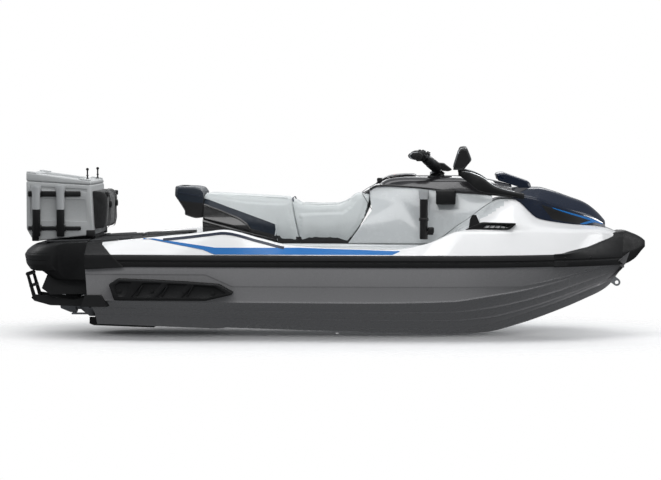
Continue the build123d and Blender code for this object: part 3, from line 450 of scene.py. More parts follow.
def moulded(name, colour, rough=0.45, grain=900.0, depth=0.25, vary=0.10, coat=0.0, metal=0.0, wear=0.14):
    """Moulded plastic or rubber: fine grain, uneven tone, and paler worn edges."""
    f = Finish(name, Metallic=metal, Coat_Weight=coat, Coat_Roughness=0.08, Specular_IOR_Level=0.35)
    patches = f.ranged(f.noise(7.0, 5.0), 0.3, 0.7)
    tone = f.mix(patches, scaled(colour, 1 - vary), scaled(colour, 1 + vary))
    scuffs = f.ranged(f.noise(55.0, 6.0, f.stretched(1, 1, 5), 0.7), 0.60, 0.78)
    edges = f.ranged(f.node("ShaderNodeNewGeometry").outputs["Pointiness"], 0.51, 0.58)
    worn = f.math("MULTIPLY", f.math("ADD", f.math("MULTIPLY", scuffs, 0.35), edges), wear, clamp=True)
    pale = tuple(min(1.0, c * 1.3 + 0.04) for c in colour[:3]) + (1.0,)
    f.link(f.mix(worn, tone, pale), "Base Color")
    f.link(f.ranged(f.noise(30.0, 4.0), 0.3, 0.7, rough - 0.07, rough + 0.08), "Roughness")
    f.bump((f.cells(grain), depth, 0.0004), (f.noise(14.0, 2.0), 0.05, 0.002))
    return f.material


def painted(name, colour, rough=0.16, flake=0.0, vary=0.03, low_dirt=0.0, coat=0.6):
    """Gloss gelcoat or paint under a clear coat, with a faint waviness and fine dust."""
    f = Finish(name, Coat_Weight=coat, Coat_Roughness=0.04, Metallic=flake, Specular_IOR_Level=0.4)
    drift = f.ranged(f.noise(2.2, 4.0), 0.3, 0.7)
    tone = f.mix(drift, scaled(colour, 1 - vary), scaled(colour, 1 + vary))
    if flake:
        specks = f.ranged(f.cells(2600.0), 0.1, 0.5)
        tone = f.mix(specks, scaled(colour, 1.5), tone)
    streak = f.ranged(f.noise(18.0, 7.0, f.stretched(0.6, 1, 4), 0.65), 0.55, 0.8)
    f.link(f.mix(f.math("MULTIPLY", streak, 0.05 + low_dirt), tone, scaled(colour, 0.78)), "Base Color")
    f.link(f.ranged(f.noise(24.0, 5.0), 0.3, 0.7, rough - 0.05, rough + 0.07), "Roughness")
    f.bump((f.noise(420.0, 2.0), 0.03, 0.0004), (f.noise(5.0, 2.0), 0.05, 0.003))
    return f.material


def metallic(name, colour, rough=0.3, brushed=(1, 1, 1), grain=220.0, depth=0.12):
    """Bare metal, brushed or cast, with uneven roughness and dull patches."""
    f = Finish(name, Metallic=0.95)
    lines = f.noise(grain, 5.0, f.stretched(*brushed), 0.6)
    patches = f.ranged(f.noise(12.0, 5.0), 0.35, 0.7)
    f.link(f.mix(patches, colour, scaled(colour, 0.8)), "Base Color")
    f.link(f.ranged(lines, 0.3, 0.7, rough - 0.08, rough + 0.14), "Roughness")
    f.bump((lines, depth, 0.0004))
    return f.material


def vinyl_colour(f, base, vary=0.05):
    """Uneven vinyl tone, with painted shade darkening the creases of its grain."""
    patches = f.ranged(f.noise(9.0, 4.0), 0.3, 0.7)
    tone = f.mix(patches, scaled(base, 1 - vary), scaled(base, 1 + vary))
    # Painted shade: the grain's sunken creases are darkened in the colour.
    crease_shade = f.ranged(f.cells(520.0, feature="DISTANCE_TO_EDGE"), 0.0, 0.06)
    return f.mix(crease_shade, scaled(base, 0.72), tone)


def vinyl_surface(f, rough=0.42):
    """Leather-like grain on stretched vinyl."""
    f.link(f.ranged(f.noise(38.0, 4.0), 0.3, 0.7, rough - 0.06, rough + 0.1), "Roughness")
    f.bump((f.cells(520.0, feature="DISTANCE_TO_EDGE"), 0.28, 0.0005), (f.noise(1500.0, 2.0), 0.1, 0.0003),
           (f.noise(11.0, 2.0), 0.12, 0.004))
    return f.material


GREY_VINYL = rgb(196, 201, 201)
NAVY = rgb(4, 22, 38)


def seat_vinyl(name, navy_zones):
    """Light-grey seat vinyl with navy panels, each zone a list of (point, normal) lines in the side view."""
    f = Finish(name, Sheen_Weight=0.15, Specular_IOR_Level=0.45)
    share = None
    for zone in navy_zones:
        inside = None
        for point, normal in zone:
            side = f.side_of(point, normal)
            inside = side if inside is None else f.math("MINIMUM", inside, side)
        share = inside if share is None else f.math("MAXIMUM", share, inside)
    grey, navy = vinyl_colour(f, GREY_VINYL), vinyl_colour(f, NAVY, 0.12)
    f.link(f.mix(share, grey, navy) if navy_zones else grey, "Base Color")
    return vinyl_surface(f)


def foam_mat(name, colour):
    """Closed-cell foam mat with cut grooves along the craft, the grooves darkened by painted shade."""
    f = Finish(name)
    wave = f.node("ShaderNodeTexWave", {"Vector": f.coords, "Scale": 26.0, "Distortion": 0.0},
                  bands_direction="Y", wave_profile="TRI").outputs[1]
    groove = f.ranged(wave, 0.04, 0.22)
    pores = f.ranged(f.cells(1400.0), 0.15, 0.5)
    tone = f.mix(f.ranged(f.noise(30.0, 5.0), 0.3, 0.7), scaled(colour, 0.85), scaled(colour, 1.2))
    # Painted shade: the sunken grooves are darkened to less than half the foam's colour.
    f.link(f.mix(groove, scaled(colour, 0.4), tone), "Base Color")
    f.shader.inputs["Roughness"].default_value = 0.85
    f.bump((groove, 0.6, 0.0012), (pores, 0.35, 0.0004))
    return f.material


def cooler_plastic(name, colour):
    """Rotomoulded tub with a pebbled skin."""
    f = Finish(name)
    pebble = f.cells(330.0)
    tone = f.mix(f.ranged(f.noise(8.0, 5.0), 0.3, 0.7), scaled(colour, 0.94), scaled(colour, 1.04))
    f.link(f.mix(f.ranged(pebble, 0.25, 0.6), tone, scaled(colour, 0.86)), "Base Color")
    f.link(f.ranged(f.noise(45.0, 4.0), 0.3, 0.7, 0.42, 0.6), "Roughness")
    f.bump((pebble, 0.45, 0.0008), (f.noise(16.0, 3.0), 0.08, 0.003))
    return f.material


def woven(name, colour, scale=560.0):
    """Coarse woven fabric, its threads over and under each other, with painted shade darkening the dips
    between them.
    """
    f = Finish(name, Roughness=0.8, Sheen_Weight=0.25, Sheen_Roughness=0.5)
    over = f.node("ShaderNodeTexWave", {"Vector": f.coords, "Scale": scale / 6.3, "Distortion": 0.6},
                  bands_direction="Y").outputs[1]
    under = f.node("ShaderNodeTexWave", {"Vector": f.coords, "Scale": scale / 6.3, "Distortion": 0.6},
                   bands_direction="Z").outputs[1]
    weave = f.math("MULTIPLY", over, under)
    tone = f.mix(f.ranged(f.noise(26.0, 5.0), 0.3, 0.7), scaled(colour, 0.8), scaled(colour, 1.35))
    # Painted shade: where the threads dip under each other the colour is darkened.
    f.link(f.mix(weave, scaled(colour, 0.45), tone), "Base Color")
    f.bump((weave, 0.6, 0.0008), (f.noise(24.0, 4.0), 0.2, 0.003))
    return f.material


HULL_GREY = painted("hull_gelcoat", rgb(176, 175, 176), 0.26, low_dirt=0.04, coat=0.4)
WHITE = painted("white_gelcoat", rgb(238, 238, 238), 0.15)
BLUE = painted("blue_film", rgb(0, 104, 176), 0.35, coat=0.05)
NAVY_FILM = painted("navy_film", rgb(10, 26, 50), 0.3, coat=0.1)
NAVY_PAINT = painted("navy_paint", rgb(2, 18, 40), 0.22, flake=0.1, vary=0.08, coat=0.35)
DARK_GLOSS = painted("dark_gloss", rgb(46, 45, 47), 0.16, flake=0.3, vary=0.06)
BLACK_GLOSS = painted("black_gloss", rgb(18, 16, 16), 0.12, vary=0.08)
LIGHT_SHELL = painted("light_shell", rgb(206, 210, 211), 0.24)
# Silver used only for painted highlights: thin pale lines on edges and tops that stand in for glints of
# light.
SILVER_HIGHLIGHT = painted("painted_highlight_silver", rgb(196, 198, 200), 0.22, flake=0.7)
RUBBER = moulded("rail_rubber", rgb(17, 17, 18), 0.5, grain=1300.0, depth=0.15)
BLACK = moulded("black_moulding", rgb(20, 20, 21), 0.46, grain=760.0, depth=0.3)
BLACK_FINE = moulded("fine_black", rgb(14, 14, 15), 0.36, grain=1600.0, depth=0.15)
GREY_PLASTIC = moulded("grey_moulding", rgb(178, 180, 181), 0.42, grain=1300.0, depth=0.12, wear=0.1)
TANK = moulded("tank_moulding", rgb(212, 206, 188), 0.5, grain=500.0, vary=0.06, wear=0.05)
RED = moulded("red_moulding", rgb(176, 24, 22), 0.3, grain=1500.0, depth=0.08, wear=0.1)
GRIP = moulded("grip_rubber", rgb(15, 15, 16), 0.7, grain=420.0, depth=0.6)
MAT_FOAM = foam_mat("mat_foam", rgb(38, 39, 41))
COOLER = cooler_plastic("cooler_moulding", rgb(192, 194, 194))
FABRIC = woven("pouch_weave", rgb(24, 25, 26))
WEBBING = woven("strap_webbing", rgb(24, 24, 25), 900.0)
STEEL = metallic("steel_brushed", rgb(188, 190, 192), 0.26, (1, 1, 14), 160.0)
ALUMINIUM = metallic("aluminium_cast", rgb(168, 170, 173), 0.42, (1, 1, 1), 420.0, 0.35)
IRON = moulded("engine_paint", rgb(58, 61, 66), 0.4, grain=600.0, depth=0.4, metal=0.3)
GLASS = metallic("mirror_glass", rgb(208, 214, 220), 0.11, (1, 1, 1), 30.0, 0.01)


def bolster_vinyl():
    """Navy vinyl that turns black below the grab handle's side line."""
    finish = Finish("navy_vinyl_grain", Sheen_Weight=0.1)
    navy = vinyl_colour(finish, NAVY, 0.12)
    finish.link(finish.mix(finish.side_of((-928, 812), (0.1, 1)), rgb(14, 13, 14), navy), "Base Color")
    return vinyl_surface(finish, 0.4)


def screen_material():
    """Dark instrument glass over a faint grid of unlit segments."""
    f = Finish("screen_glass", Roughness=0.07, Coat_Weight=1.0, Coat_Roughness=0.03)
    grid = f.node("ShaderNodeTexBrick", {"Vector": f.coords, "Scale": 60.0, "Mortar Size": 0.03,
                                         "Color1": rgb(22, 27, 31), "Color2": rgb(26, 31, 36),
                                         "Mortar": rgb(12, 14, 16)})
    f.link(grid.outputs[0], "Base Color")
    f.bump((f.noise(60.0, 2.0), 0.02, 0.0004))
    return f.material


SCREEN = screen_material()
LIGHT_VINYL = seat_vinyl("seam_vinyl", [])
NAVY_VINYL = bolster_vinyl()
PIPING = moulded("piping", rgb(196, 200, 202), 0.4, grain=1500.0, depth=0.1, wear=0.05)

CAD_FINISHES = {
    "deck_mats": MAT_FOAM, "chine_guards": BLACK, "tow_eyes": STEEL, "sponson_bolts": BLACK_FINE,
    "pump_tunnel": BLACK, "ride_plate": BLACK, "intake_grate": ALUMINIUM, "pump_housing": ALUMINIUM,
    "steering_nozzle": ALUMINIUM, "reverse_bucket": BLACK, "impeller": STEEL, "drive_shaft": STEEL,
    "engine_block": IRON, "engine_mounts": RUBBER, "air_box": BLACK, "exhaust_muffler": BLACK_FINE,
    "fuel_tank": TANK, "battery": BLACK_FINE, "bearings": BLACK_FINE, "front_seat_base": BLACK,
    "rear_seat_base": BLACK, "steering_column": STEEL, "throttle_lever": BLACK_FINE,
    "brake_lever": BLACK_FINE, "start_button": RED, "storage_bin": BLACK, "ladder_bracket": BLACK,
    "boarding_ladder": BLACK_FINE, "cooler_base": BLACK, "rod_bracket": BLACK_FINE,
}
for node_name, finish in CAD_FINISHES.items():
    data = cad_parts[node_name].data
    data.materials.clear()
    data.materials.append(finish)

hull_at, deck_at, hood_at = through(HULL), through(DECK), through(HOOD)
knee_top, knee_half, console_top = through(KNEE_TOP), through(KNEE_HALF), through(CONSOLE_TOP)


# ---- hull ------------------------------------------------------------------------------------


def rail_y(x):
    """Half width of the craft behind the rail."""
    return hull_at(x)[3] * SIDE_Y


def crease(x):
    """Height of the crease along the hull's side, and how deep it is."""
    keel, chine, chine_z, rail = hull_at(x)
    height = line_at([(-1457, 392), (-745, 392), (-590, 321), (1100, 321), (1240, 345), (1640, 430)], x)
    return max(height, chine_z + 14), 5.0 * min(1.0, max(0.0, (1300 - x) / 200))


def hull_half(x, tunnel):
    """Port half of the hull's section: rail, side crease, chine lip, two strakes, keel or pump tunnel."""
    keel, chine, chine_z, rail = hull_at(x)
    chine_y, side_y = chine * SIDE_Y, rail * SIDE_Y
    size = min(1.0, chine_y / 320)

    def bottom(y):
        return keel + (chine_z - keel) * y / chine_y

    level, depth = crease(x)
    share = (level - chine_z) / (RAIL_LOW - chine_z)
    crease_y = chine_y + (side_y - chine_y) * share + 13 * size * (1 - share)
    half = [(side_y, BOND_Z), (side_y, RAIL_LOW - 2), (crease_y + 1, level + 3),
            (crease_y - depth, level - 3), (chine_y + 4 * size, chine_z + 6),
            (chine_y + 3 * size, chine_z - 3 * size),
            (chine_y - 26 * size, bottom(chine_y - 26 * size) - 1)]
    for place in (0.66, 0.40):
        y = chine_y * place
        wide = 18 * size
        half += [(y + wide + 2, bottom(y + wide + 2)), (y + wide, bottom(y) + 1), (y, bottom(y))]
    inner = min(TUNNEL_Y, chine_y * 0.30)
    roof = (TUNNEL_TOP, TUNNEL_TOP) if tunnel else (bottom(inner), keel)
    pad = max(0.0, min(1.0, (TUNNEL_FRONT_X + 260 - x) / 260))
    edge = bottom(inner) + (keel + 3 - bottom(inner)) * pad
    return half + [(inner + 22, edge), (inner, edge), (inner - 0.5, max(roof[0], edge)), (0, roof[1])]


def hull_moulding():
    """Hull with strakes, chine lip and side crease, its transom and the pump tunnel's channel."""
    stations = [(x, True) for x in spaced(TRANSOM_X, TUNNEL_FRONT_X, 24, [-745])]
    stations += [(x, False) for x in spaced(TUNNEL_FRONT_X + 0.5, STEM_X, 24, [-590, 1100, 1300])]
    rows = []
    for x, tunnel in stations:
        radii = [0, 4, 3, 3, 3, 3, 3, 2, 2, 3, 2, 2, 3, 3, 1, 1, 0]
        rows.append(whole(rounded(section(x, hull_half(x, tunnel)), radii, 2)))
    rows.append([Vector((STEM_X + 16, p.y * 0.4, p.z + (455 - p.z) * 0.4)) for p in rows[-1]])
    obj = raw("hull_moulding", skin(rows, caps=True))
    thicken(obj, 7.0, (0, 0, 430))
    return dress(obj, HULL_GREY, "craft", ["hull_shell"], 30)


# ---- deck ------------------------------------------------------------------------------------


def deck_half(x):
    """Port half of the deck's section, from the rail to the centre line."""
    row = deck_at(x)
    return [(rail_y(x), BOND_Z), (rail_y(x), RAIL_HIGH)] + [
        (row[i], row[i + 1]) for i in range(0, 10, 2)] + [(0, row[10])]


def flank(x, z, proud=0.0):
    """A point on the deck's starboard flank, standing proud by a little."""
    row = deck_at(x)
    share = min(max((z - RAIL_HIGH) / (row[1] - RAIL_HIGH), 0), 1)
    return Vector((x, -(rail_y(x) + share * (row[0] - rail_y(x)) + proud), z))


def column_point(reach):
    """A point on the steering axis, from the column's top."""
    return Vector(COLUMN_TOP) + Vector(COLUMN_AXIS) * reach


def deck_moulding():
    """Deck with soft-edged gunwales, footwells, pedestal and bow, and its two hatches."""
    rows = []
    for x in spaced(TRANSOM_X, STEM_X, 24, [-880, -840, -800, -760, -720]):
        rows.append(whole(rounded(section(x, deck_half(x)), [0, 5, 13, 13, 34, 34, 26, 0], 5)))
    obj = thicken(raw("deck_moulding", skin(rows, caps=True)), 5.0, (0, 0, 300))
    cut(obj, block(-310, 60, -170, 170, 500, 1200), block(1125, 1470, -145, 145, 500, 1200),
        pipe([column_point(-400), column_point(-200)], 45, 32))
    dress(obj, [WHITE, LIGHT_SHELL], "craft", ["deck_shell"], 34)
    for face in obj.data.polygons:
        x, y = face.center.x / MM, abs(face.center.y) / MM
        rise = face.center.z / MM - 640
        if x > -700 and y < deck_at(x)[2] - 7 and rise > (x - 770) * 0.68:
            face.material_index = 1


def film(name, lower, upper, x0, x1, finish, proud):
    """A band of colour film on both flanks, between a lower and an upper edge."""
    rows = []
    for x in spaced(x0, x1, 20, [p[0] for p in lower + upper if x0 <= p[0] <= x1]):
        low, high = line_at(lower, x), line_at(upper, x)
        rows.append([flank(x, low + (high - low) * k / 4, proud) for k in range(5)])
    obj = raw(name, both(skin(rows)))
    modify(obj, "SOLIDIFY", thickness=1.6 * MM, offset=0.0)
    return dress(obj, finish, "craft")


def gunwale(offset):
    """The gunwale's edge line on the flank, lowered by an offset."""
    return [(x, deck_at(x)[1] - offset) for x in spaced(-1457, 800, 25)]


def deck_films():
    """Blue side stripe, the navy line under the gunwale's crest and the fine light edge above it."""
    low = [(-1120, 606), (-1062, 596), (-760, 541), (-690, 514), (353, 514), (396, 532)]
    high = [(-1120, 611), (-1062, 606), (-741, 560), (-690, 553), (-200, 551), (351, 533), (396, 534)]
    high = [(x, min(z, deck_at(x)[1] - 6)) for x, z in high]
    film("blue_stripe", low, high, -1118, 394, BLUE, 2.0)
    film("navy_line", gunwale(27), gunwale(12), -1000, -285, NAVY_FILM, 2.2)


# ---- rail, bumper and stern ------------------------------------------------------------------


def rub_rail():
    """Rubber rail with a groove along its middle."""
    rows = []
    for x in spaced(TRANSOM_X, 1306, 24):
        inner, outer = rail_y(x) - 2, rail_y(x) + RAIL_THICK
        rows.append([(x, inner, RAIL_LOW), (x, outer - 5, RAIL_LOW), (x, outer - 1, RAIL_LOW + 4),
                     (x, outer, RAIL_LOW + 12), (x, outer, 464), (x, outer - 5, 468), (x, outer - 5, 474),
                     (x, outer, 478), (x, outer - 1, 497), (x, outer - 4, 506), (x, outer - 8, RAIL_HIGH),
                     (x, inner, RAIL_HIGH)])
    shape = both(skin([[Vector(p) for p in row] for row in rows], closed=True, caps=True))
    piece("rub_rail_pair", shape, RUBBER, nodes=["rub_rails"], sharp=30)


def bumper_side(x):
    """Starboard ring of the bumper beside the bow, as (half width, z) points."""
    top = line_at(BUMPER_CREST, x)
    low = rail_y(x) + RAIL_THICK
    row = deck_at(x)
    share = min(max((top - RAIL_HIGH) / (row[1] - RAIL_HIGH), 0), 1)
    high = rail_y(x) + share * (row[0] - rail_y(x)) + RAIL_THICK - 2
    rise = min(1.0, max(0.0, (x - 1310) / 200))
    face_z = max(RAIL_HIGH + 2, top - 34 * rise)
    face = low + (high - low) * (face_z - RAIL_HIGH) / max(top - RAIL_HIGH, 1)
    return [(rail_y(x) - 3, 438), (low - 3, 436), (low, 441), (low, 468), (low - 4, 472), (low - 4, 478),
            (low, 482), (low, RAIL_HIGH - 2), (face + 4, face_z), (high - 30 * rise - 2, top),
            (high - 30 * rise - 14, top + 0.5)]


def bow_guard():
    """Bumper round the bow: a ridged flank each side and a stepped nose."""
    sides = []
    for x in spaced(1300, STEM_X, 22):
        sides.append([Vector((x, -y, z)) for y, z in bumper_side(x)])
    nose_at = through([
        (1640, 222, 437, 222, 508, 178, 570, 150, 610, 60, 612),
        (1690, 180, 437, 180, 508, 142, 590, 116, 628, 60, 629),
        (1727, 144, 437, 147, 508, 124, 596, 104, 634, 60, 636),
        (1797, 98, 466, 104, 520, 86, 588, 70, 612, 40, 616),
        (1848, 62, 520, 66, 545, 56, 572, 45, 586, 26, 590),
        (1866, 34, 536, 36, 552, 32, 563, 26, 572, 16, 574),
    ])
    nose = []
    for x in spaced(1640, 1866, 12, [1848]):
        row = nose_at(x)
        half = [Vector((x, row[i], row[i + 1])) for i in range(0, 10, 2)]
        nose.append(rounded(whole(half, meets=False), 9, 3, closed=True))
    shape = joined(both(skin(sides, closed=True, caps=True)), skin(nose, closed=True, caps=True))
    piece("bow_guard", shape, BLACK, nodes=["bow_bumper"], sharp=28)
    profile = [(0, 0.1), (0, 9), (2.5, 8), (3.5, 5), (1.5, 4), (1.5, 0.1)]
    bolts = [lathe((x, -(rail_y(x) + RAIL_THICK - 1), 486), (0, -1, 0), profile, 20) for x in (1365, 1520)]
    piece("bumper_screws", both(joined(*bolts)), BLACK_FINE)


def platform_moulding():
    """Stern platform, narrowing towards its sides, hollow underneath."""
    outline = [(-1866, 497), (-1850, 523), (-1823, 546), (-1794, 563), (-1718, 576), (-1457.3, 583),
               (-1457.3, 345), (-1700, 352), (-1782, 404), (-1830, 404), (-1856, 440)]
    narrow = through([(0, 1.0, 1.0), (290, 1.0, 1.0), (380, 0.93, 1.0), (440, 0.84, 1.0), (478, 0.70, 0.985),
                      (494, 0.60, 0.96), (500, 0.54, 0.93)])
    marks = spaced(0, 470, 24) + [480, 488, 494, 498, 500]
    rows = []
    for y in [-m for m in reversed(marks)] + marks[1:]:
        reach, tall = narrow(abs(y))
        ring = [Vector((-1457.3 + (x + 1457.3) * reach, y, 500 + (z - 500) * tall)) for x, z in outline]
        rows.append(rounded(ring, [5, 6, 6, 10, 20, 2, 2, 24, 10, 8, 6], 3, closed=True))
    obj = raw("platform_moulding", skin(rows, closed=True, caps=True))
    well = slab([(-1790, 380), (-1705, 330), (-1440, 330), (-1440, 540), (-1790, 528)], -425, 425)
    cut(obj, well)
    for level, rear in ((508, -1863), (468, -1862)):
        groove = []
        for y in [-m for m in reversed(marks[:-2])] + marks[1:-2]:
            x = -1457.3 + (rear + 1457.3) * narrow(abs(y))[0]
            groove.append([Vector((x - 20, y, level - 5)), Vector((x - 20, y, level + 5)),
                           Vector((x + 6, y, level + 1)), Vector((x + 6, y, level - 1))])
        cut(obj, skin(groove, closed=True, caps=True))
    for side in (-1, 1):
        plate = [(-1457, 400), (-1457, 268), (-1690, 262), (-1742, 300), (-1700, 400)]
        low, high = sorted((side * 396, side * 430))
        cut(obj, slab(plate, low, high), operation="UNION")
    dress(obj, BLACK, "craft", ["stern_platform"], 30)
    corner = []
    for z in (424, 437, 440, 468, 480, 508, 512, 530, 550, 566):
        end = line_at([(424, -1440), (437, -1222), (568, -1365)], z) if z > 424 else -1440
        out = rail_y(TRANSOM_X) + (16.5 if z <= 508 else 16.5 - (z - 508) * 0.20)
        row = []
        for k in range(13):
            x = TRANSOM_X + (end - TRANSOM_X) * k / 12
            base = rail_y(x) if z <= RAIL_HIGH else -flank(x, z).y
            row.append(Vector((x, -(base + (out - rail_y(TRANSOM_X)) * (1 if z <= 512 else 0.6)), z)))
        corner.append(row)
    for inset, lift in ((6, 3.5), (44, 3.5)):
        row = []
        for k in range(13):
            x = TRANSOM_X + (-1365 - TRANSOM_X) * k / 12
            top = deck_at(x)
            row.append(Vector((x, -(top[0] - inset), top[1] + (top[3] - top[1]) * min(1, inset / 40) + lift)))
        corner.append(row)
    cover = raw("stern_corner_covers", both(skin(corner)))
    modify(cover, "SOLIDIFY", thickness=4 * MM, offset=0.0, use_even_offset=True)
    bevel(cover, 1.6, 2)
    dress(cover, BLACK, "craft")
    strips = []
    for x0, x1, y0, y1 in ((-1446, -1180, 60, 200), (-1446, -1230, 214, 330), (-1446, -1290, 344, 448),
                           (-1168, -900, 60, 212), (-1216, -905, 226, 420)):
        top = []
        for x in spaced(x0, x1, 24):
            lean = 22 * (x - x0) / (x1 - x0)
            row = deck_at(x)
            widths, heights = [0] + row[8:1:-2], [row[10]] + row[9:2:-2]
            profile = ((y0 + lean, -3), (y0 + lean, 9), (y0 + lean + 7, 13), (y1 - 7, 13), (y1, 9), (y1, -3))
            top.append([Vector((x, -y, float(np.interp(y, widths, heights)) + lift)) for y, lift in profile])
        strips.append(skin(top, closed=True, caps=True))
    piece("rear_deck_mats", both(joined(*strips)), MAT_FOAM, soften=2, segments=2)


def side_fins():
    """Stabilising fins: a block with four pockets between three slanting ribs."""
    outline = [(-1316, 335), (-1263, 370), (-1048, 363), (-849, 353), (-665, 339), (-581, 289), (-594, 275),
               (-743, 240), (-1284, 240)]
    obj = raw("side_fin_pair", slab(outline, -600, -508))
    bevel(obj, 7, 3)
    pockets = [[(-1262, 262), (-1280, 330), (-1250, 352), (-1180, 350), (-1222, 262)],
               [(-1186, 258), (-1112, 346), (-1000, 344), (-1072, 258)],
               [(-1036, 258), (-962, 342), (-850, 338), (-922, 258)],
               [(-886, 260), (-812, 334), (-690, 326), (-622, 286), (-742, 256)]]
    for pocket in pockets:
        cut(obj, slab(pocket, -640, -584))
    bevel(obj, 1.6, 2, 50)
    rails = [pipe([(x, -588, 270), (x + 34, -596, 330)], [6, 6], 10) for x in (-1150, -1000, -850)]
    shape = joined(both(mesh_of(obj)), both(joined(*rails)))
    piece("side_fins", shape, BLACK, nodes=["sponsons"], sharp=30)


def vent_covers():
    """Louvred air inlets in the bow flanks."""
    outline = [(772, 655), (875, 700), (1082, 694), (1040, 658)]
    obj = raw("vent_shape", slab(soft_outline(outline, 14), -462, -392))
    cut(obj, slab([(884, 668), (912, 690), (1052, 686), (1028, 666)], -480, -440))
    bevel(obj, 2.5, 2, 45)
    louvres = [slab([(798, 664), (806, 716), (818, 742), (842, 742), (864, 694), (842, 668)], -446, -424)]
    for k in range(4):
        x = 922 + k * 32
        louvres.append(slab([(x - 10, 664), (x + 8, 690), (x + 13, 690), (x - 5, 664)], -460, -436))
    shape = both(joined(mesh_of(obj), *louvres))
    piece("vent_covers", shape, BLACK_FINE, nodes=["air_vents"])


# ---- knee shroud and console -----------------------------------------------------------------

SEAT_FRONT = [(562, 78), (762, 221), (838, 205), (868, 205), (910, 207)]
SEAT_HALF = [(562, 225), (640, 222), (760, 187), (830, 152), (870, 140), (920, 128)]
SEAT_SIDE = through(SEAT_HALF)


def knee_surface(s, t):
    """A starboard point of the knee shroud: s runs to the bow and t upwards."""
    z = 562 + 340 * t
    for _ in range(4):
        x = line_at(SEAT_FRONT, z) * (1 - s) + 940 * s
        row = deck_at(x)
        low, high = row[9] + 0.5, knee_top(x)[0]
        z = low + (high - low) * t
    wide = row[8] + (knee_half(x)[0] - row[8]) * t
    blend = max(0.0, 1 - s / 0.4) ** 2
    wide += (SEAT_SIDE(z)[0] + 4 - wide) * blend
    swell = 10 * math.sin(math.pi * t) * (1 - 0.6 * s) * (1 - blend)
    fold = 7 * math.exp(-(((x - 330 - 260 * (1 - t)) / 46) ** 2)) * math.sin(math.pi * min(1, t * 1.2))
    return Vector((x, -(wide + swell - fold), z))


def knee_panels():
    """Light shroud between the rider's knees, with a shallow fold across each side."""
    side = [[knee_surface(s / 48, t / 22) for t in range(23)] for s in range(49)]
    rows = [whole(half, meets=False) for half in side]
    obj = thicken(raw("knee_panels", skin(rows)), 4.0, (500, 0, 700))
    cut(obj, pipe([column_point(-200), column_point(60)], 46, 32))
    bevel(obj, 1.5, 2, 60)
    dress(obj, LIGHT_SHELL, "craft", ["knee_shroud"], 40)


def console_half(x):
    """Port half of the console's section, from its foot to the centre line."""
    low, high, wide = knee_top(x)[0] + 0.5, console_top(x)[0], knee_half(x)[0]
    return [(wide, low), (wide + 1, low + 8), (wide - 12, high - 20), (wide * 0.62, high), (0, high + 3)]


def console_cover():
    """Dark gloss console with the steering hole and the glovebox opening."""
    rows = []
    for x in spaced(205, 1057, 20):
        rows.append(whole(rounded(section(x, console_half(x)), [0, 4, 16, 30, 0], 5)))
    obj = thicken(raw("console_cover", skin(rows, caps=True)), 4.0, (600, 0, 850))
    cut(obj, block(250, 470, -80, 80, 800, 1100), pipe([column_point(-140), column_point(60)], 45, 32))
    dress(obj, DARK_GLOSS, "craft", ["console_shell"], 34)
    tub = raw("glovebox_tub", block(246, 474, -84, 84, 802, 948))
    cut(tub, block(250, 470, -80, 80, 806, 1000))
    dress(tub, BLACK_FINE, "craft")
    trim = []
    for x in spaced(214, 1050, 24):
        half = console_half(x)
        trim.append(Vector((x, -half[0][0] - 1.2, half[0][1] + 3)))
    piece("console_seams", both(pipe(trim, 2.6, 8)), BLACK_FINE)


def glovebox_cover():
    """Glovebox lid with rounded corners, a raised centre and a small latch mark."""
    rows = []
    for x in spaced(238, 482, 12):
        low = console_top(x)[0] + 3.3
        lift = 9 * min(1, (x - 236) / 20, (484 - x) / 20) ** 0.5
        row = []
        for k in range(17):
            y = -94 + 188 * k / 16
            edge = min(1, (94 - abs(y)) / 16 + 0.05) ** 0.5
            row.append(Vector((x, y, low + 1 + lift * edge)))
        rows.append(row)
    obj = raw("glovebox_cover", skin(rows))
    thicken(obj, 2.4, (360, 0, 500))
    dress(obj, DARK_GLOSS, "glovebox", ["glovebox_lid"])
    top = console_top(354)[0]
    mark = slab(soft_outline([(346, -6), (362, -6), (362, 6), (346, 6)], 4, 3), top + 6, top + 14.2, "z")
    piece("glovebox_mark", mark, RED, "glovebox", soften=1, segments=2)


# ---- hood ------------------------------------------------------------------------------------


def hood_half(x):
    """Port half of the hood's section, from its foot to the centre line."""
    wide, shoulder, shoulder_y, top, top_y = hood_at(x)
    row = deck_at(x)
    crown = row[9] + (row[10] - row[9]) * (1 - (wide - 5) / row[8])
    low = crown + 0.6
    return [(wide, low), (shoulder_y + 2, shoulder), (top_y, top), (top_y * 0.45, top + 3), (0, top + 1)]


def hood_flank(x, z, proud=0.0):
    """A point on the hood's starboard side, between its foot and its shoulder."""
    foot, shoulder = hood_half(x)[:2]
    share = (z - foot[1]) / (shoulder[1] - foot[1])
    return Vector((x, -(foot[0] + share * (shoulder[0] - foot[0]) + proud), z))


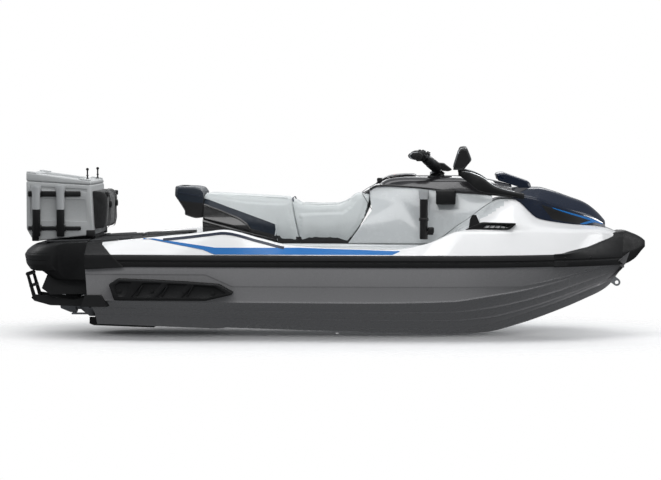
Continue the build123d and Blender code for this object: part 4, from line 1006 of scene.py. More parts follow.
def hood_cover():
    """Navy hood with its side insert, blue accent and a silver line painted along its edge as a highlight."""
    rows = []
    for x in spaced(1060, 1622, 16):
        rows.append(whole(rounded(section(x, hood_half(x)), [0, 12, 26, 20, 0], 5)))
    obj = thicken(raw("hood_cover", skin(rows, caps=True)), 4.0, (1300, 0, 600))
    dress(obj, NAVY_PAINT, "hood", ["hood"], 34)

    def band(name, lower, upper, finish, proud):
        x0, x1 = lower[0][0], lower[-1][0]
        surface_rows = []
        for x in spaced(x0, x1, 12, [p[0] for p in lower + upper]):
            low, high = line_at(lower, x), line_at(upper, x)
            foot, shoulder = hood_half(x)[:2]
            low_z = foot[1] + (shoulder[1] - foot[1]) * low
            high_z = foot[1] + (shoulder[1] - foot[1]) * high
            surface_rows.append([hood_flank(x, low_z + (high_z - low_z) * k / 4, proud) for k in range(5)])
        made = raw(name, both(skin(surface_rows)))
        modify(made, "SOLIDIFY", thickness=1.0 * MM, offset=0.0)
        dress(made, finish, "hood")

    band("hood_insert", [(1235, 0.72), (1300, 0.12), (1470, 0.05), (1545, 0.30)],
         [(1235, 0.76), (1300, 0.74), (1470, 0.56), (1545, 0.34)], BLACK_FINE, 0.5)
    band("hood_accent_upper", [(1300, 0.76), (1470, 0.58), (1560, 0.42), (1606, 0.44)],
         [(1300, 0.80), (1470, 0.72), (1560, 0.72), (1606, 0.60)], BLUE, 0.9)
    band("hood_accent_lower", [(1468, 0.02), (1500, 0.06), (1560, 0.40)],
         [(1468, 0.06), (1500, 0.26), (1560, 0.62)], BLUE, 1.0)
    # Painted highlight: a pale silver band on each flank stands in for the glint along the hood's edge.
    band("hood_edge_highlight", [(1486, 0.80), (1560, 0.74), (1606, 0.64)], [(1486, 0.82), (1560, 0.90), (1606, 0.80)],
         SILVER_HIGHLIGHT, 0.8)
    grey = []
    for place in spaced(0, 1, 0.1):
        row = []
        for k in range(7):
            t = k / 6
            x = 1062 + place * (10 + 84 * t)
            half = hood_half(x)
            y = half[1][0] + (half[2][0] - half[1][0]) * t
            z = half[1][1] + (half[2][1] - half[1][1]) * t
            row.append(Vector((x, -(y + 1.2), z + 1.2)))
        grey.append(row)
    obj = raw("hood_shoulders", both(skin(grey)))
    modify(obj, "SOLIDIFY", thickness=1.4 * MM, offset=0.0)
    dress(obj, DARK_GLOSS, "hood")


def instrument_pod():
    """Instrument housing with its screen facing the rider."""
    outline = [(961, 981), (1001, 989), (1169, 930), (1178, 893.3), (1122, 893.3), (1066, 912), (973, 940)]
    rows = []
    for y, size in ((-95, 0.86), (-88, 0.95), (-70, 1.0), (0, 1.02), (70, 1.0), (88, 0.95), (95, 0.86)):
        share = min(size, 1)
        ring = [Vector((1070 + (x - 1070) * share, y, 893.3 + (z - 893.3) * share)) for x, z in outline]
        rows.append(rounded(ring, [8, 14, 26, 3, 3, 20, 10], 4, closed=True))
    piece("instrument_pod", skin(rows, closed=True, caps=True), NAVY_PAINT, "hood", ["display_pod"],
          sharp=34)
    neck = slab([(978, 936), (1062, 910), (1176, 895), (1176, 905), (1010, 960)], -72, 72)
    piece("instrument_neck", neck, BLACK_FINE, "hood", soften=3, segments=2)
    face = [Vector(p) for p in ((959.6, -68, 976), (959.6, 68, 976), (970.4, 68, 945), (970.4, -68, 945))]
    out = Vector((-0.95, 0, -0.3)) * 2.0
    edges = [rounded([p + out * k for p in face], 6, 4, closed=True) for k in (0.0, 1.0)]
    glass = skin(edges, closed=True, caps=True)
    piece("instrument_screen", glass, SCREEN, "hood")


# ---- mirrors ---------------------------------------------------------------------------------


def mirror_parts(side, body):
    """One mirror: raked housing, recessed glass and a silver line painted on as an edge highlight; side is -1
    to starboard.
    """
    outline = [(704, 1006), (745, 1136), (787, 1142), (816, 1065), (768, 1006)]
    rows = []
    for y, size in ((358, 0.86), (366, 0.96), (390, 1.0), (450, 0.98), (486, 0.92), (500, 0.78)):
        centre = Vector((758, 0, 1070))
        ring = []
        for x, z in outline:
            p = centre + (Vector((x, 0, z)) - centre) * size
            ring.append(Vector((p.x if x > 750 else 704 + (x - 704) * size + (1 - size) * 26, side * y, p.z)))
        rows.append(rounded(ring, [8, 12, 16, 22, 12], 4, closed=True))
    shell = skin(rows, closed=True, caps=True)
    piece(f"{body}_shell", shell, BLACK_FINE, body, [body], sharp=32)
    lean = Vector((41, 0, 130)).normalized()
    out = Vector((-130, 0, 41)).normalized()
    base = Vector((704, 0, 1006))
    corners = [(14, 374), (118, 374), (114, 482), (22, 482)]
    face = [base + lean * up + Vector((0, side * y, 0)) + out * 0.2 for up, y in corners]
    glass = [rounded([p + out * k for p in face], 12, 5, closed=True) for k in (-2.0, 1.2)]
    piece(f"{body}_glass", skin(glass, closed=True, caps=True), GLASS, body)
    # Painted highlight: a pale silver line down the housing's edge stands in for the glint of light there.
    line = [Vector((786, side * 372, 1136)), Vector((800, side * 372, 1102)), Vector((814, side * 372, 1066)),
            Vector((797, side * 372, 1044))]
    piece(f"{body}_line", pipe(rounded(line, 10, 4), 2.6, 8), SILVER_HIGHLIGHT, body)


def mirror_stalks():
    """Arms from the hood's sides to the mirrors, with a silver line painted along the upper edge as a
    highlight, and the pivot pins.
    """
    rings = [
        (736, [(-380, 978), (-380, 999), (-406, 999), (-406, 978)]),
        (790, [(-364, 936), (-364, 994), (-396, 992), (-396, 936)]),
        (870, [(-312, 878), (-312, 968), (-346, 962), (-346, 876)]),
        (960, [(-270, 862), (-270, 908), (-304, 900), (-304, 860)]),
        (1040, [(-246, 850), (-246, 882), (-272, 874), (-272, 848)]),
        (1130, [(-224, 834), (-224, 866), (-246, 856), (-246, 832)]),
    ]
    flat = [(x,) + tuple(v for point in ring for v in point) for x, ring in rings]
    arm_at = through(flat)
    rows, crest = [], []
    for x in spaced(736, 1130, 20):
        row = arm_at(x)
        ring = [Vector((x, row[i], row[i + 1])) for i in range(0, 8, 2)]
        rows.append(rounded(ring, 8, 3, closed=True))
        crest.append((ring[1] + ring[2]) / 2 + Vector((0, 0, 0.5)))
    pin = lathe((748, -392, 990), (0, 0, 1), [(0, 0.1), (0, 7.9), (30, 7.9), (30, 0.1)], 24)
    piece("mirror_stalks", both(joined(skin(rows, closed=True, caps=True), pin)), BLACK_FINE, "hood",
          ["mirror_arms"])
    # Painted highlight: a pale silver pipe along each arm's crest stands in for the glint of light on its top
    # edge.
    edge = pipe(crest[2:-3], [3.5] * (len(crest) - 5), 8)
    piece("mirror_stalk_highlights", both(edge), SILVER_HIGHLIGHT, "hood")


# ---- steering --------------------------------------------------------------------------------

BAR_PATH = [(612, 40, 1008), (560, 190, 1052), (508, 270, 1085), (503, 415, 1085)]
LEVER_FITTINGS = [
    (550, 252, 1066, [(0, 0.1), (0, 3.9), (38, 3.9), (40, 6), (43, 5), (43, 0.1)]),
    (500, 243, 1115, [(0, 0.1), (0, 8), (3, 8), (4.5, 6.5), (4.5, 0.1)]),
    (520, 262, 1115, [(0, 0.1), (0, 6), (2.5, 6), (3.5, 4.5), (3.5, 0.1)]),
]


def handlebar_parts():
    """Bar tube, sleeves with silver strips painted on top as highlights, ribbed boot, pad, grips with a
    silver arc painted on as a highlight, and switch housings.
    """
    bend = rounded([(616, -40, 1004)] + BAR_PATH, 34, 8)
    tube = pipe([p for p in bend if p.y > 0], 11, 18)
    clamp = lathe(column_point(-2), COLUMN_AXIS, [(0.3, 0.1), (0.3, 34), (13, 34), (16, 30), (16, 0.1)], 32)
    saddle = soft_block(585, 635, -60, 60, 990, 1018, 4, 3)
    piece("bar_tube", joined(both(tube), clamp, saddle), STEEL, "steering", ["handlebar"])

    sleeve_path = [Vector((606, 58, 1013)), Vector((582, 120, 1032)), Vector((560, 186, 1052)),
                   Vector((534, 232, 1069))]
    sleeve = pipe(rounded(sleeve_path, 20, 4), [30] + [28] * 10 + [22], 18)
    ribs = []
    for k in range(7):
        share = k / 6
        centre = Vector((604, 62, 1014)).lerp(Vector((570, 152, 1041)), share)
        along = Vector((570 - 604, 152 - 62, 1041 - 1014)).normalized()
        crest = 33 - 3 * share
        ribs.append(lathe(centre - along * 3, along, [(0, 24), (1, crest), (5, crest), (6, 24)], 24))
    piece("bar_sleeves", both(joined(sleeve, *ribs)), BLACK_FINE, "steering")
    # Painted highlight: pale silver strips along the sleeves' tops stand in for the light falling on them.
    highlight_strip = [(596, 66, 1040), (572, 128, 1058), (548, 190, 1076), (524, 236, 1092)]
    piece("bar_highlight_strips", both(pipe(rounded(highlight_strip, 20, 3), 4.5, 8)), SILVER_HIGHLIGHT, "steering")

    profile = [(-28, 44)]
    for k in range(5):
        profile += [(-26 + k * 5.4, 52 - 3 * k), (-23.4 + k * 5.4, 53 - 3 * k), (-21.4 + k * 5.4, 45 - 3 * k)]
    profile += [(1, 36), (1, 22), (-28, 22)]
    boot = lathe(column_point(0), COLUMN_AXIS, profile, 40)
    piece("column_boot", boot, RUBBER, "steering")

    pad_outline = [(548, 1019), (637, 1019), (637, 994), (678, 990), (702, 1000), (650, 1042), (556, 1046)]
    rows = []
    for y, size in ((-58, 0.84), (-52, 0.95), (-38, 1.0), (0, 1.02), (38, 1.0), (52, 0.95), (58, 0.84)):
        ring = [Vector((620 + (x - 620) * min(size, 1), y, 1019 + (z - 1019) * size)) for x, z in pad_outline]
        rows.append(rounded(ring, 9, 4, closed=True))
    pad = piece("bar_cover", skin(rows, closed=True, caps=True), BLACK_FINE, "steering", ["bar_pad"],
                sharp=34)

    grips = []
    profile = [(0, 11.1), (0, 19), (3, 21.5), (7, 21.5), (9, 16.5)]
    for k in range(13):
        start = 13 + k * 7.4
        profile += [(start, 15.6), (start + 1.4, 17), (start + 4.6, 17), (start + 6, 15.6)]
    profile += [(113, 17), (115, 22), (121, 22), (123, 20), (123, 11.1)]
    grips.append(lathe((507.2, 297, 1085), (-4.2, 123, 0), profile, 28))
    end_cap = [(0, 0.1), (0, 13), (5.5, 13), (7, 11), (7, 7), (5, 6), (5, 0.1)]
    grips.append(lathe((502.9, 415, 1085), (0, 1, 0), end_cap, 28))
    palms = []
    for y, reach, height in ((318, 17, 17), (330, 30, 20), (350, 40, 23),
                             (385, 44, 24), (405, 38, 22), (415, 26, 18)):
        centre = Vector((505 - (reach - 17) * 0.8, y, 1085 + (height - 17) * 0.6))
        turns = [2 * math.pi * k / 28 for k in range(28)]
        palms.append([centre + Vector((reach * math.cos(a), 0, height * math.sin(a))) for a in turns])
    grips.append(skin(palms, closed=True, caps=True))
    piece("hand_grips", both(joined(*grips)), GRIP, "steering", ["grips"])
    # Painted highlight: a pale silver arc on the palm rest's upper edge stands in for the glint of light
    # there.
    rim = [palms[-2][k] + Vector((0, 2, 0)) for k in range(6, 22)]
    piece("grip_highlight_rims", both(pipe(rim, 2.2, 8)), SILVER_HIGHLIGHT, "steering")

    housings = []
    for side in (-1, 1):
        body = raw("housing", block(484, 538, *sorted((side * 232, side * 278)), 1055, 1115))
        bevel(body, 9, 4)
        if side > 0:
            cut(body, pipe([(470, 255, 1096), (500, 255, 1096)], 9.3, 24))
        housings.append(mesh_of(body))
        for z in (1066, 1096):
            housings.append(soft_block(530, 566, *sorted((side * 238, side * 268)), z, z + 8, 2.5, 2))
        for x, y, z, profile in LEVER_FITTINGS:
            housings.append(lathe((x, side * y, z), (0, 0, 1), profile, 20))
    piece("switch_housings", joined(*housings), BLACK, "steering", ["control_pods"])


# ---- seats -----------------------------------------------------------------------------------


def split_x(z):
    """The leaning joint between the two seats."""
    return SEAT_SPLIT_X - SEAT_LEAN * (z - PEDESTAL_Z)


def cushion(rear, front, base, top, crown, corner, rows_count=44):
    """A padded form between four edges in the side view, with rounded shoulders and a crowned top."""
    rows = []
    for i in range(rows_count + 1):
        s = i / rows_count

        def solve(t):
            x, z = 0.0, base(0) + 120 * t
            for _ in range(12):
                x = rear(z) + (front(z) - rear(z)) * s
                z = base(x) + (top(x) - base(x)) * t
            return x, z

        levels = [solve(t) for t in (0.0, 0.25, 0.5, 0.75, 1.0)]
        side = [Vector((x, SEAT_SIDE(z)[0] + 3 * math.sin(math.pi * t), z))
                for (x, z), t in zip(levels, (0.0, 0.25, 0.5, 0.75, 1.0))]
        radii = [2, 40, 40, 30, corner, corner, 30, 40, 40, 2]
        ring = rounded(whole(side, meets=False), radii, 6, closed=True)
        edge = side[-1].y - corner
        for point in ring:
            if abs(point.y) < edge and point.z > side[2].z:
                point.z += crown * (1 - (point.y / edge) ** 2)
        top_points = []
        for k, point in enumerate(ring):
            top_points.append(point)
            after = ring[(k + 1) % len(ring)]
            if point.z > side[2].z and point.y > edge * 0.9 and after.y < -edge * 0.9:
                for j in range(1, 12):
                    y = edge - 2 * edge * j / 12
                    top_points.append(Vector((point.x, y, side[-1].z + crown * (1 - (y / edge) ** 2))))
        rows.append(top_points)
    return skin(rows, closed=True, caps=True)


def inflate(obj, cap, voxel=0.005, pressure=4.0):
    """Pad an object by a short cloth simulation, holding each point within a cap in millimetres."""
    modify(obj, "REMESH", mode="VOXEL", voxel_size=voxel, adaptivity=0.0)
    start = np.array([v.co for v in obj.data.vertices], float)
    cloth = obj.modifiers.new("cloth", "CLOTH")
    cloth.settings.use_pressure = True
    cloth.settings.uniform_pressure_force = pressure
    cloth.settings.effector_weights.gravity = 0.0
    cloth.settings.quality = 4
    cloth.point_cache.frame_start, cloth.point_cache.frame_end = 1, 20
    for number in range(1, 21):
        bpy.context.scene.frame_set(number)
    applied(obj)
    bpy.context.scene.frame_set(1)
    end = np.array([v.co for v in obj.data.vertices], float)
    moved = end - start
    length = np.linalg.norm(moved, axis=1, keepdims=True)
    held = start + moved * np.minimum(1.0, cap * MM / np.maximum(length, 1e-9))
    obj.data.vertices.foreach_set("co", held.astype(np.float32).ravel())
    modify(obj, "SMOOTH", factor=0.5, iterations=3)
    return obj


def seam(name, points, body, finish, radius=2.2):
    """A piping or stitched seam over a cushion, on both sides."""
    line = pipe(rounded(points, 14, 5), radius, 8)
    piece(name, both(line), finish, body)


def surface_y(z, proud=4.0):
    """Half width of the seats' sides at a height."""
    return SEAT_SIDE(z)[0] + proud


def seats():
    """Both cushions with their panels and seams."""
    front_top = through([(-290, 826), (-268, 824), (-212, 793), (-166, 788), (14, 791), (82, 822), (119, 850),
                         (200, 864)])
    front_edge = [(562, 77), (762, 219.5), (838, 203.5), (880, 203)]
    shape = cushion(lambda z: split_x(z) + 1.6, lambda z: line_at(front_edge, z) - 1.5, lambda x: 568.0,
                    lambda x: front_top(x)[0] - 2, 6, 30)
    obj = inflate(raw("front_cushion", shape), 4)
    notch = [((-232, 790), (-0.6, 0.8)), ((-232, 790), (1, -0.15)), ((-262, 826), (-1, 0.2))]
    grey_front = seat_vinyl("front_vinyl", [notch])
    dress(obj, grey_front, "front_seat", ["front_seat"], 60)
    line = [(x, -surface_y(z, 2), z) for x, z in ((219, 764), (196, 800), (172, 838))]
    seam("knee_seam", line + [(160, -surface_y(856, -10), 858)], "front_seat", BLACK_FINE, 1.8)

    rear_top = through([(-800, 855), (-700, 852), (-516, 841), (-300, 829), (-262, 826)])

    def rear_base(x):
        return max(568.0, 587 + SEAT_REST_SLOPE * (x + 346) + 4) if x < -346 else 568.0

    shape = cushion(lambda z: -798.0, lambda z: split_x(z) - 1.6, rear_base,
                    lambda x: rear_top(x)[0] - 2, 8, 32)
    obj = inflate(raw("rear_cushion", shape), 4)
    line = ((-346, 671), (-0.355, -1.0))
    navy_band = [line, ((-358, 640), (-1, -0.13))]
    wedge = [((-338, 604), (1, 0)), ((-338, 604), (-0.80, -0.6))]
    panelled = seat_vinyl("rear_vinyl", [navy_band, wedge])
    dress(obj, panelled, "rear_seat", ["rear_seat"], 60)

    line = [(x, -surface_y(z), z) for x, z in ((-654, 780), (-500, 726), (-350, 673))]
    seam("rear_split_seam", [(-796, -surface_y(830, 0), 831)] + line, "rear_seat", PIPING)
    line = [(x, -surface_y(z), z) for x, z in ((-350, 673), (-356, 640), (-362, 606))]
    seam("rear_front_seam", line, "rear_seat", PIPING, 3.0)
    seam("step_piping", [(-262, -60, 832), (-262, -118, 829), (-257, -144, 812), (-253, -158, 790),
                         (-250, -168, 770)], "rear_seat", NAVY_FILM, 4.0)
    seam("front_top_seam", [(-206, -134, 796), (-100, -140, 792), (14, -140, 795), (82, -128, 820),
                            (119, -118, 846), (192, -112, 858)], "front_seat", LIGHT_VINYL, 1.6)
    line = [(-790, -112, 852), (-516, -120, 841), (-290, -128, 830)]
    seam("rear_top_seam", line, "rear_seat", LIGHT_VINYL, 1.6)


def seat_crescent():
    """Dark gloss panel sweeping down the rear seat's lower side, with a rolled rim."""
    crest = [(-797, 797), (-690, 762), (-582, 715), (-530, 680), (-508, 650)]
    rows, rim = [], []
    for x in spaced(-797, -508, 14):
        low, high = 593 - 0.2555 * (x + 346), line_at(crest, x)
        row = []
        for k in range(9):
            z = low + (high - low) * k / 8
            row.append(Vector((x, -surface_y(z, 5.5 - 3 * (k == 8)), z)))
        rows.append(row)
        rim.append(Vector((x, -surface_y(high - 9, 7), high - 9)))
    obj = raw("seat_crescent", both(skin(rows)))
    modify(obj, "SOLIDIFY", thickness=5 * MM, offset=0.0, use_even_offset=True)
    bevel(obj, 1.5, 2, 50)
    dress(obj, BLACK_GLOSS, "rear_seat")
    rim = pipe(rim, [1.5] + [5.0] * (len(rim) - 2) + [1.5], 10)
    piece("seat_crescent_rim", both(rim), BLACK_GLOSS, "rear_seat")


def seat_tongue():
    """Dark nose on the front seat that carries the console's line down to the seat."""
    rows = []
    for x, low, high, wide in ((146, 852, 858, 78), (160, 853, 870, 100), (180, 858, 884, 118),
                               (203.5, 864, 897, 132)):
        half = [(wide, low), (wide - 3, low + (high - low) * 0.55), (wide * 0.72, high), (0, high + 2)]
        rows.append(rounded(whole(section(x, half)), [2, 6, 14, 20, 14, 6, 2], 3, closed=True))
    piece("seat_tongue", skin(rows, closed=True, caps=True), DARK_GLOSS, "front_seat")


def grab_bolster():
    """Navy grab handle with a hand slot, crowned and soft-edged."""
    outline = [(-978, 845), (-974, 903), (-856, 900), (-816, 891), (-801, 868), (-801, 712), (-850, 706),
               (-880, 714), (-917, 727), (-917, 752), (-943, 794)]
    rows = []
    for y in [-170, -166, -156, -140] + spaced(-120, 120, 30) + [140, 156, 166, 170]:
        out = max(0.0, (abs(y) - 130) / 40)
        shrink = 1 - 0.16 * out**2
        squat = 1 - 0.12 * out**2
        ring = [Vector((-860 + (x + 860) * (shrink if x < -860 else 1), y, 800 + (z - 800) * squat))
                for x, z in outline]
        rows.append(rounded(ring, [10, 12, 10, 12, 2, 2, 8, 10, 8, 8, 14], 4, closed=True))
    obj = raw("grab_bolster", skin(rows, closed=True, caps=True))
    hand_slot = soft_outline([(-950, -115), (-905, -115), (-905, 115), (-950, 115)], 18, 5)
    cut(obj, slab(hand_slot, 600, 1000, "z"))
    bevel(obj, 2.5, 2, 50)
    dress(obj, NAVY_VINYL, "rear_seat", ["grab_handle"], 40)
    line = [(-968, -171, 868), (-880, -172, 852), (-806, -171, 838)]
    seam("bolster_seam", line, "rear_seat", NAVY_FILM, 1.8)


def pedestal_panels():
    """Curved dark panel under the rear seat, with a rolled upper edge."""
    sides = []
    for x in spaced(-800, -352, 16):
        low = 592.0 if x < -718 else PEDESTAL_Z + 1 + 30 * max(0, (-660 - x) / 58)
        high = max(587 + SEAT_REST_SLOPE * (x + 346) - 1, low + 3)
        bulge = 8 * math.sin(math.pi * (x + 800) / 448)
        row = []
        for k in range(13):
            t = k / 12
            roll = 6 * math.exp(-(((t - 0.86) / 0.12) ** 2))
            row.append(Vector((x, -(218 + bulge * (1 - t) + roll), low + (high - low) * t)))
        sides.append(whole(row, meets=False))
    shape = skin(sides)
    count = len(sides[0])
    shape[1].append(tuple(range(count)))
    obj = thicken(raw("pedestal_panels", shape), 4.0, (-560, 0, 600))
    dress(obj, BLACK_GLOSS, "craft", ["pedestal_trim"], 40)


# ---- cooler and fishing gear -----------------------------------------------------------------


def rim_z(x):
    """Height of the cooler's sloping rim."""
    return 934 + (910 - 934) * (x + 1862) / (-1470 + 1862)


def lid_z(x):
    """Height of the cooler lid's sloping top."""
    return 986 + (935 - 986) * (x + 1862) / 388


def cooler_tub():
    """Cooler body with recessed side panels, rim band and black corner feet."""
    outline = [(-1862, 934), (-1470, 910), (-1453, 611), (-1800, 572), (-1825, 582), (-1862, 645)]
    obj = raw("cooler_tub", slab(outline, -265, 265))
    bevel(obj, 9, 4, 20)
    cavity = [(-1832, 1000), (-1500, 1000), (-1486, 637), (-1800, 602), (-1832, 655)]
    cut(obj, slab(cavity, -235, 235))
    for side in (-1, 1):
        low, high = sorted((side * 261, side * 280))
        cut(obj, slab([(-1838, 700), (-1838, 834), (-1504, 822), (-1494, 690)], low, high))
        cut(obj, slab([(-1838, 885), (-1838, 905), (-1496, 886), (-1496, 866)], low, high))
    bevel(obj, 1.5, 2, 50)
    dress(obj, COOLER, "cooler", ["cooler_body"], 36)
    feet = []
    for x0, x1, z0, z1 in ((-1829, -1786, 570, 622), (-1500, -1450, 598, 640)):
        feet.append(soft_block(x0, x1, -268, -214, z0 + 2, z1, 6, 3))
    piece("cooler_feet", both(joined(*feet)), BLACK, "cooler")


def cooler_cover():
    """Cooler lid with a sunk tray, corner blocks and two ball-headed pegs."""
    low = [(-1862, rim_z(-1862) + 0.6), (-1470, rim_z(-1470) + 0.6)]
    obj = raw("cooler_cover", slab([low[0], low[1], (-1474, 935), (-1862, 986)], -265, 265))
    bevel(obj, 9, 4, 20)
    cut(obj, slab([(-1806, 966), (-1806, 1010), (-1560, 1010), (-1560, 934)], -150, 150))
    bevel(obj, 1.6, 2, 50)
    parts = [mesh_of(obj)]
    for x0, x1, y0, y1 in ((-1860, -1800, 180, 262), (-1540, -1478, 196, 262)):
        outline = [(x0, lid_z(x0) - 8), (x1, lid_z(x1) - 8), (x1, lid_z(x1) + 7), (x0, lid_z(x0) + 7)]
        corner = raw("corner", slab(outline, y0, y1))
        parts.append(both(mesh_of(bevel(corner, 4, 3, 30))))
    piece("cooler_cover", joined(*parts), COOLER, "cooler_lid", ["cooler_lid"], sharp=34)
    pegs = []
    for x, y in ((-1508, -150), (-1492, 150)):
        profile = [(0, 0.1), (0, 11), (4, 9), (7, 5), (20, 4.6), (22, 7.5), (25, 7.5), (27, 4.6), (48, 4.6),
                   (58, 5)]
        ball = np.linspace(-0.9, math.pi / 2, 8)
        profile += [(61 + 9 * math.sin(a), max(0.1, 9 * math.cos(a))) for a in ball]
        pegs.append(lathe((x, y, 942), (0, 0, 1), profile, 24))
    piece("lid_pegs", joined(*pegs), BLACK_FINE, "cooler_lid")


def rod_tube(x, y, low, high, split):
    """A rod tube's lower black part and its paler flared top, as two meshes."""
    stem, reach = split - low, high - split
    lower = [(0, 0.1), (0, 22), (3, 24), (stem, 24), (stem, 20), (10, 20), (10, 0.1)]
    upper = [(0.4, 20), (0.4, 25), (6, 25.5), (reach - 46, 25.5), (reach - 22, 30), (reach - 8, 31),
             (reach, 30), (reach, 26), (reach - 24, 21)]
    return lathe((x, y, low), (0, 0, 1), lower, 32), lathe((x, y, split), (0, 0, 1), upper, 32)


def cooler_fittings():
    """Rod tubes and bars on the cooler's sides, its latches and stern hooks."""
    lower, upper = [], []
    for x in (-1796, -1650):
        a, b = rod_tube(x, -293.3, 602, 908, 764)
        lower.append(a)
        upper.append(b)
    bars = [soft_block(-1850, -1530, -279, -265.3, 842, 874, 5, 3),
            soft_block(-1850, -1530, -279, -265.3, 640, 662, 4, 3)]
    for x in (-1796, -1650):
        for z0, z1 in ((836, 880), (632, 670)):
            bars.append(soft_block(x - 28, x + 28, -300, -265.3, z0, z1, 4, 2))
    piece("rod_tubes", both(joined(*lower, *bars)), BLACK_FINE, "cooler", ["cooler_rack"])
    piece("rod_tube_tops", both(joined(*upper)), GREY_PLASTIC, "cooler")
    latches = []
    for y in (-120, 120):
        shape = [(-1866, 878), (-1863.4, 872), (-1862.4, 872), (-1862.4, 972), (-1864, 972), (-1866, 962)]
        latches.append(mesh_of(bevel(raw("latch", slab(shape, y - 26, y + 26)), 0.5, 2)))
        latches.append(soft_block(-1866, -1862.4, y - 32, y + 32, 946, 958, 1.2, 2))
    piece("strap_latches", joined(*latches), RUBBER, "latches", ["cooler_latches"])


def bow_wall(z):
    """Where the cooler's bow side lies at a height."""
    return -1453 + (-1470 + 1453) * (z - 611) / (910 - 611) + 0.5


def pouch():
    """Soft pouch on the cooler's bow side, with a flap, webbing and buckles."""
    rows = []
    for k in range(25):
        y = -225 + 450 * k / 24
        edge = min(1.0, (225 - abs(y)) / 34 + 0.35) ** 0.6
        sag = 5 * math.cos(math.pi * y / 150)
        ring = [(bow_wall(642), 644), (bow_wall(650) + 58 * edge, 650),
                (bow_wall(700) + (72 + sag) * edge, 690), (-1380 + sag * 0.4 - 30 * (1 - edge), 790),
                (-1380 - 40 * (1 - edge), 846), (-1402 - 30 * (1 - edge), 872), (bow_wall(878), 878)]
        rows.append(rounded([Vector((x, y, z)) for x, z in ring], [3, 16, 20, 30, 16, 12, 3], 5, closed=True))
    obj = inflate(raw("pouch_body", skin(rows, closed=True, caps=True)), 4)
    dress(obj, FABRIC, "cooler", ["cooler_pouch"], 60)
    parts = []
    for y in (-120, 120):
        path = [(-1424, y, 880), (-1400, y, 878), (-1380, y, 862), (-1373, y, 820), (-1374, y, 760),
                (-1372, y, 700), (-1384, y, 650), (-1410, y, 641)]
        strap = []
        for point in rounded(path, 14, 4):
            strap.append([point + Vector(p) for p in ((0, -14, 0), (0, 14, 0), (2.2, 14, 1), (2.2, -14, 1))])
        parts.append(skin(strap, closed=True, caps=True))
    piece("pouch_straps", joined(*parts), WEBBING, "cooler")
    buckles = []
    for y in (-120, 120):
        buckles.append(soft_block(-1378, -1364, y - 20, y + 20, 772, 812, 4, 3))
        buckles.append(soft_block(-1368, -1362, y - 12, y + 12, 780, 804, 2, 2))
    buckles.append(soft_block(-1394, -1372, -205, -180, 838, 868, 6, 3))
    buckles.append(soft_block(-1394, -1372, 180, 205, 838, 868, 6, 3))
    piece("pouch_buckles", joined(*buckles), BLACK_FINE, "cooler")


def rod_holder_parts():
    """Swivelling rod holder: black tube, pale flared top, clamp and drain end; and the tackle box."""
    x, y = 532.0, -305.0
    lower, upper = rod_tube(x, y, 592, 886, 830)
    head = soft_block(x - 26, x + 26, -288, -266.4, 832, 880, 5, 3)
    clamp = [soft_block(x - 8, x + 58, y - 16, y + 12, 618, 640, 5, 3),
             soft_block(x + 24, x + 62, y - 20, y + 8, 628, 664, 8, 3)]
    collar = lathe((x, y, 700), (0, 0, 1), [(0, 20.5), (0, 27), (3, 29), (17, 29), (20, 27), (20, 20.5)], 32)
    shape = joined(lower, head, collar, *clamp)
    piece("holder_tube", shape, BLACK_FINE, "rod_holder", ["rod_holder"])
    piece("holder_top", upper, GREY_PLASTIC, "rod_holder")
    obj = raw("tackle_box", block(604, 722, -300, -186, 797, 886))
    bevel(obj, 10, 4)
    cut(obj, block(610, 716, -294, -214, 803, 900))
    bevel(obj, 1.4, 2, 50)
    dress(obj, BLACK_FINE, "craft", ["tool_box"])


hull_moulding()
deck_moulding()
deck_films()
rub_rail()
bow_guard()
platform_moulding()
side_fins()
vent_covers()
knee_panels()
console_cover()
glovebox_cover()
hood_cover()
instrument_pod()
mirror_parts(-1, "mirror_right")
mirror_parts(1, "mirror_left")
mirror_stalks()
handlebar_parts()
seats()
seat_crescent()
seat_tongue()
grab_bolster()
pedestal_panels()
cooler_tub()
cooler_cover()
cooler_fittings()
pouch()
rod_holder_parts()


# ---- floor, light and camera -----------------------------------------------------------------


def floor():
    """Pale round floor that fades out into the backdrop."""
    rings = [[(r * 1000 * math.cos(a), r * 1000 * math.sin(a), -0.5) for a in np.linspace(0, 2 * math.pi, 65)]
             for r in (0.01, 2, 4, 6, 9, 12)]
    obj = raw("studio_floor", skin([[Vector(p) for p in ring] for ring in rings]))
    fl = Finish("floor_paint", Roughness=0.75)
    patches = fl.ranged(fl.noise(3.0, 4.0), 0.3, 0.7)
    fl.link(fl.mix(patches, rgb(246, 246, 246), rgb(250, 250, 250)), "Base Color")
    fl.bump((fl.noise(160.0, 3.0), 0.03, 0.0005))
    oval = fl.stretched(1 / 2.5, 1 / 1.5, 1)
    distance = fl.node("ShaderNodeVectorMath", {0: oval}, operation="LENGTH").outputs["Value"]
    fade = fl.ranged(distance, 0.55, 1.15, 0.0, 1.0, smooth=True)
    clear = fl.node("ShaderNodeBsdfTransparent").outputs[0]
    mixed = fl.node("ShaderNodeMixShader", {0: fade, 1: fl.shader.outputs[0], 2: clear}).outputs[0]
    fl.tree.links.new(mixed, fl.tree.nodes["Material Output"].inputs["Surface"])
    obj.data.materials.append(fl.material)
    obj.visible_diffuse = obj.visible_glossy = False


def lamp(name, kind, place, target, energy, size, size_y=None):
    """One studio light aimed at a point."""
    data = bpy.data.lights.new(name, kind)
    data.energy = energy
    if kind == "AREA":
        data.shape = "RECTANGLE"
        data.size, data.size_y = size, size_y or size
    obj = bpy.data.objects.new(name, data)
    bpy.context.scene.collection.objects.link(obj)
    obj.location = place
    obj.rotation_euler = (Vector(target) - Vector(place)).to_track_quat("-Z", "Y").to_euler()


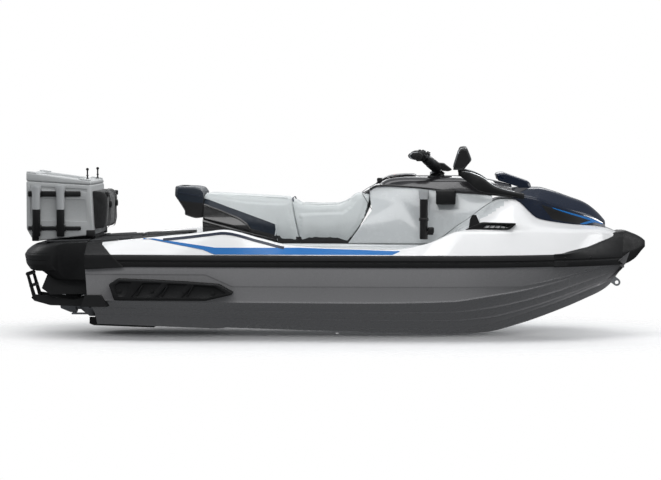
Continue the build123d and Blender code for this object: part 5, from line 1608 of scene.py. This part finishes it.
def studio():
    """A pale backdrop, one large soft light overhead and softer ones around."""
    scene = bpy.context.scene
    scene.view_settings.view_transform = "Standard"
    world = bpy.data.worlds.new("studio")
    scene.world = world
    world.use_nodes = True
    tree = world.node_tree
    back = tree.nodes["Background"]
    back.inputs["Color"].default_value = (1.0, 1.0, 1.0, 1.0)
    back.inputs["Strength"].default_value = 1.0
    dim = tree.nodes.new("ShaderNodeBackground")
    dim.inputs["Color"].default_value = (0.93, 0.96, 1.0, 1.0)
    split = tree.nodes.new("ShaderNodeSeparateXYZ")
    ramp = tree.nodes.new("ShaderNodeMapRange")
    for key, value in {"From Min": -0.35, "From Max": 0.5, "To Min": 0.10, "To Max": 0.50}.items():
        ramp.inputs[key].default_value = value
    mixer = tree.nodes.new("ShaderNodeMixShader")
    for source, socket in (
        (tree.nodes.new("ShaderNodeTexCoord").outputs["Generated"], split.inputs[0]),
        (split.outputs["Z"], ramp.inputs["Value"]),
        (ramp.outputs[0], dim.inputs["Strength"]),
        (tree.nodes.new("ShaderNodeLightPath").outputs["Is Camera Ray"], mixer.inputs[0]),
        (dim.outputs[0], mixer.inputs[1]),
        (back.outputs[0], mixer.inputs[2]),
        (mixer.outputs[0], tree.nodes["World Output"].inputs["Surface"]),
    ):
        tree.links.new(source, socket)
    lamp("overhead", "AREA", (0.2, -0.8, 4.8), (0, 0, 0.5), 105, 5.0, 2.6)
    lamp("front_fill", "AREA", (0.4, -5.2, 3.6), (0, 0, 0.45), 105, 6.0, 1.6)
    lamp("bow_light", "AREA", (5.4, -1.2, 2.6), (0.8, 0, 0.5), 45, 2.4, 1.6)
    lamp("back_light", "AREA", (-0.4, 5.2, 3.6), (0, 0, 0.45), 95, 6.0, 1.6)
    lamp("stern_light", "AREA", (-5.4, 0.4, 2.6), (-1.0, 0, 0.5), 45, 2.4, 1.6)


def camera():
    """A long lens on the starboard side, a little towards the bow and a little above."""
    aim, distance = Vector((-0.040, 0.0, 0.570)), 14.0
    yaw, rise = math.radians(3.0), math.radians(2.9)
    away = Vector((math.sin(yaw) * math.cos(rise), -math.cos(yaw) * math.cos(rise), math.sin(rise)))
    data = bpy.data.cameras.new("camera")
    data.lens = 124.9
    data.clip_end = 100.0
    obj = bpy.data.objects.new("camera", data)
    bpy.context.scene.collection.objects.link(obj)
    obj.location = aim + away * distance
    obj.rotation_euler = (-away).to_track_quat("-Z", "Y").to_euler()
    bpy.context.scene.camera = obj


floor()
studio()
camera()
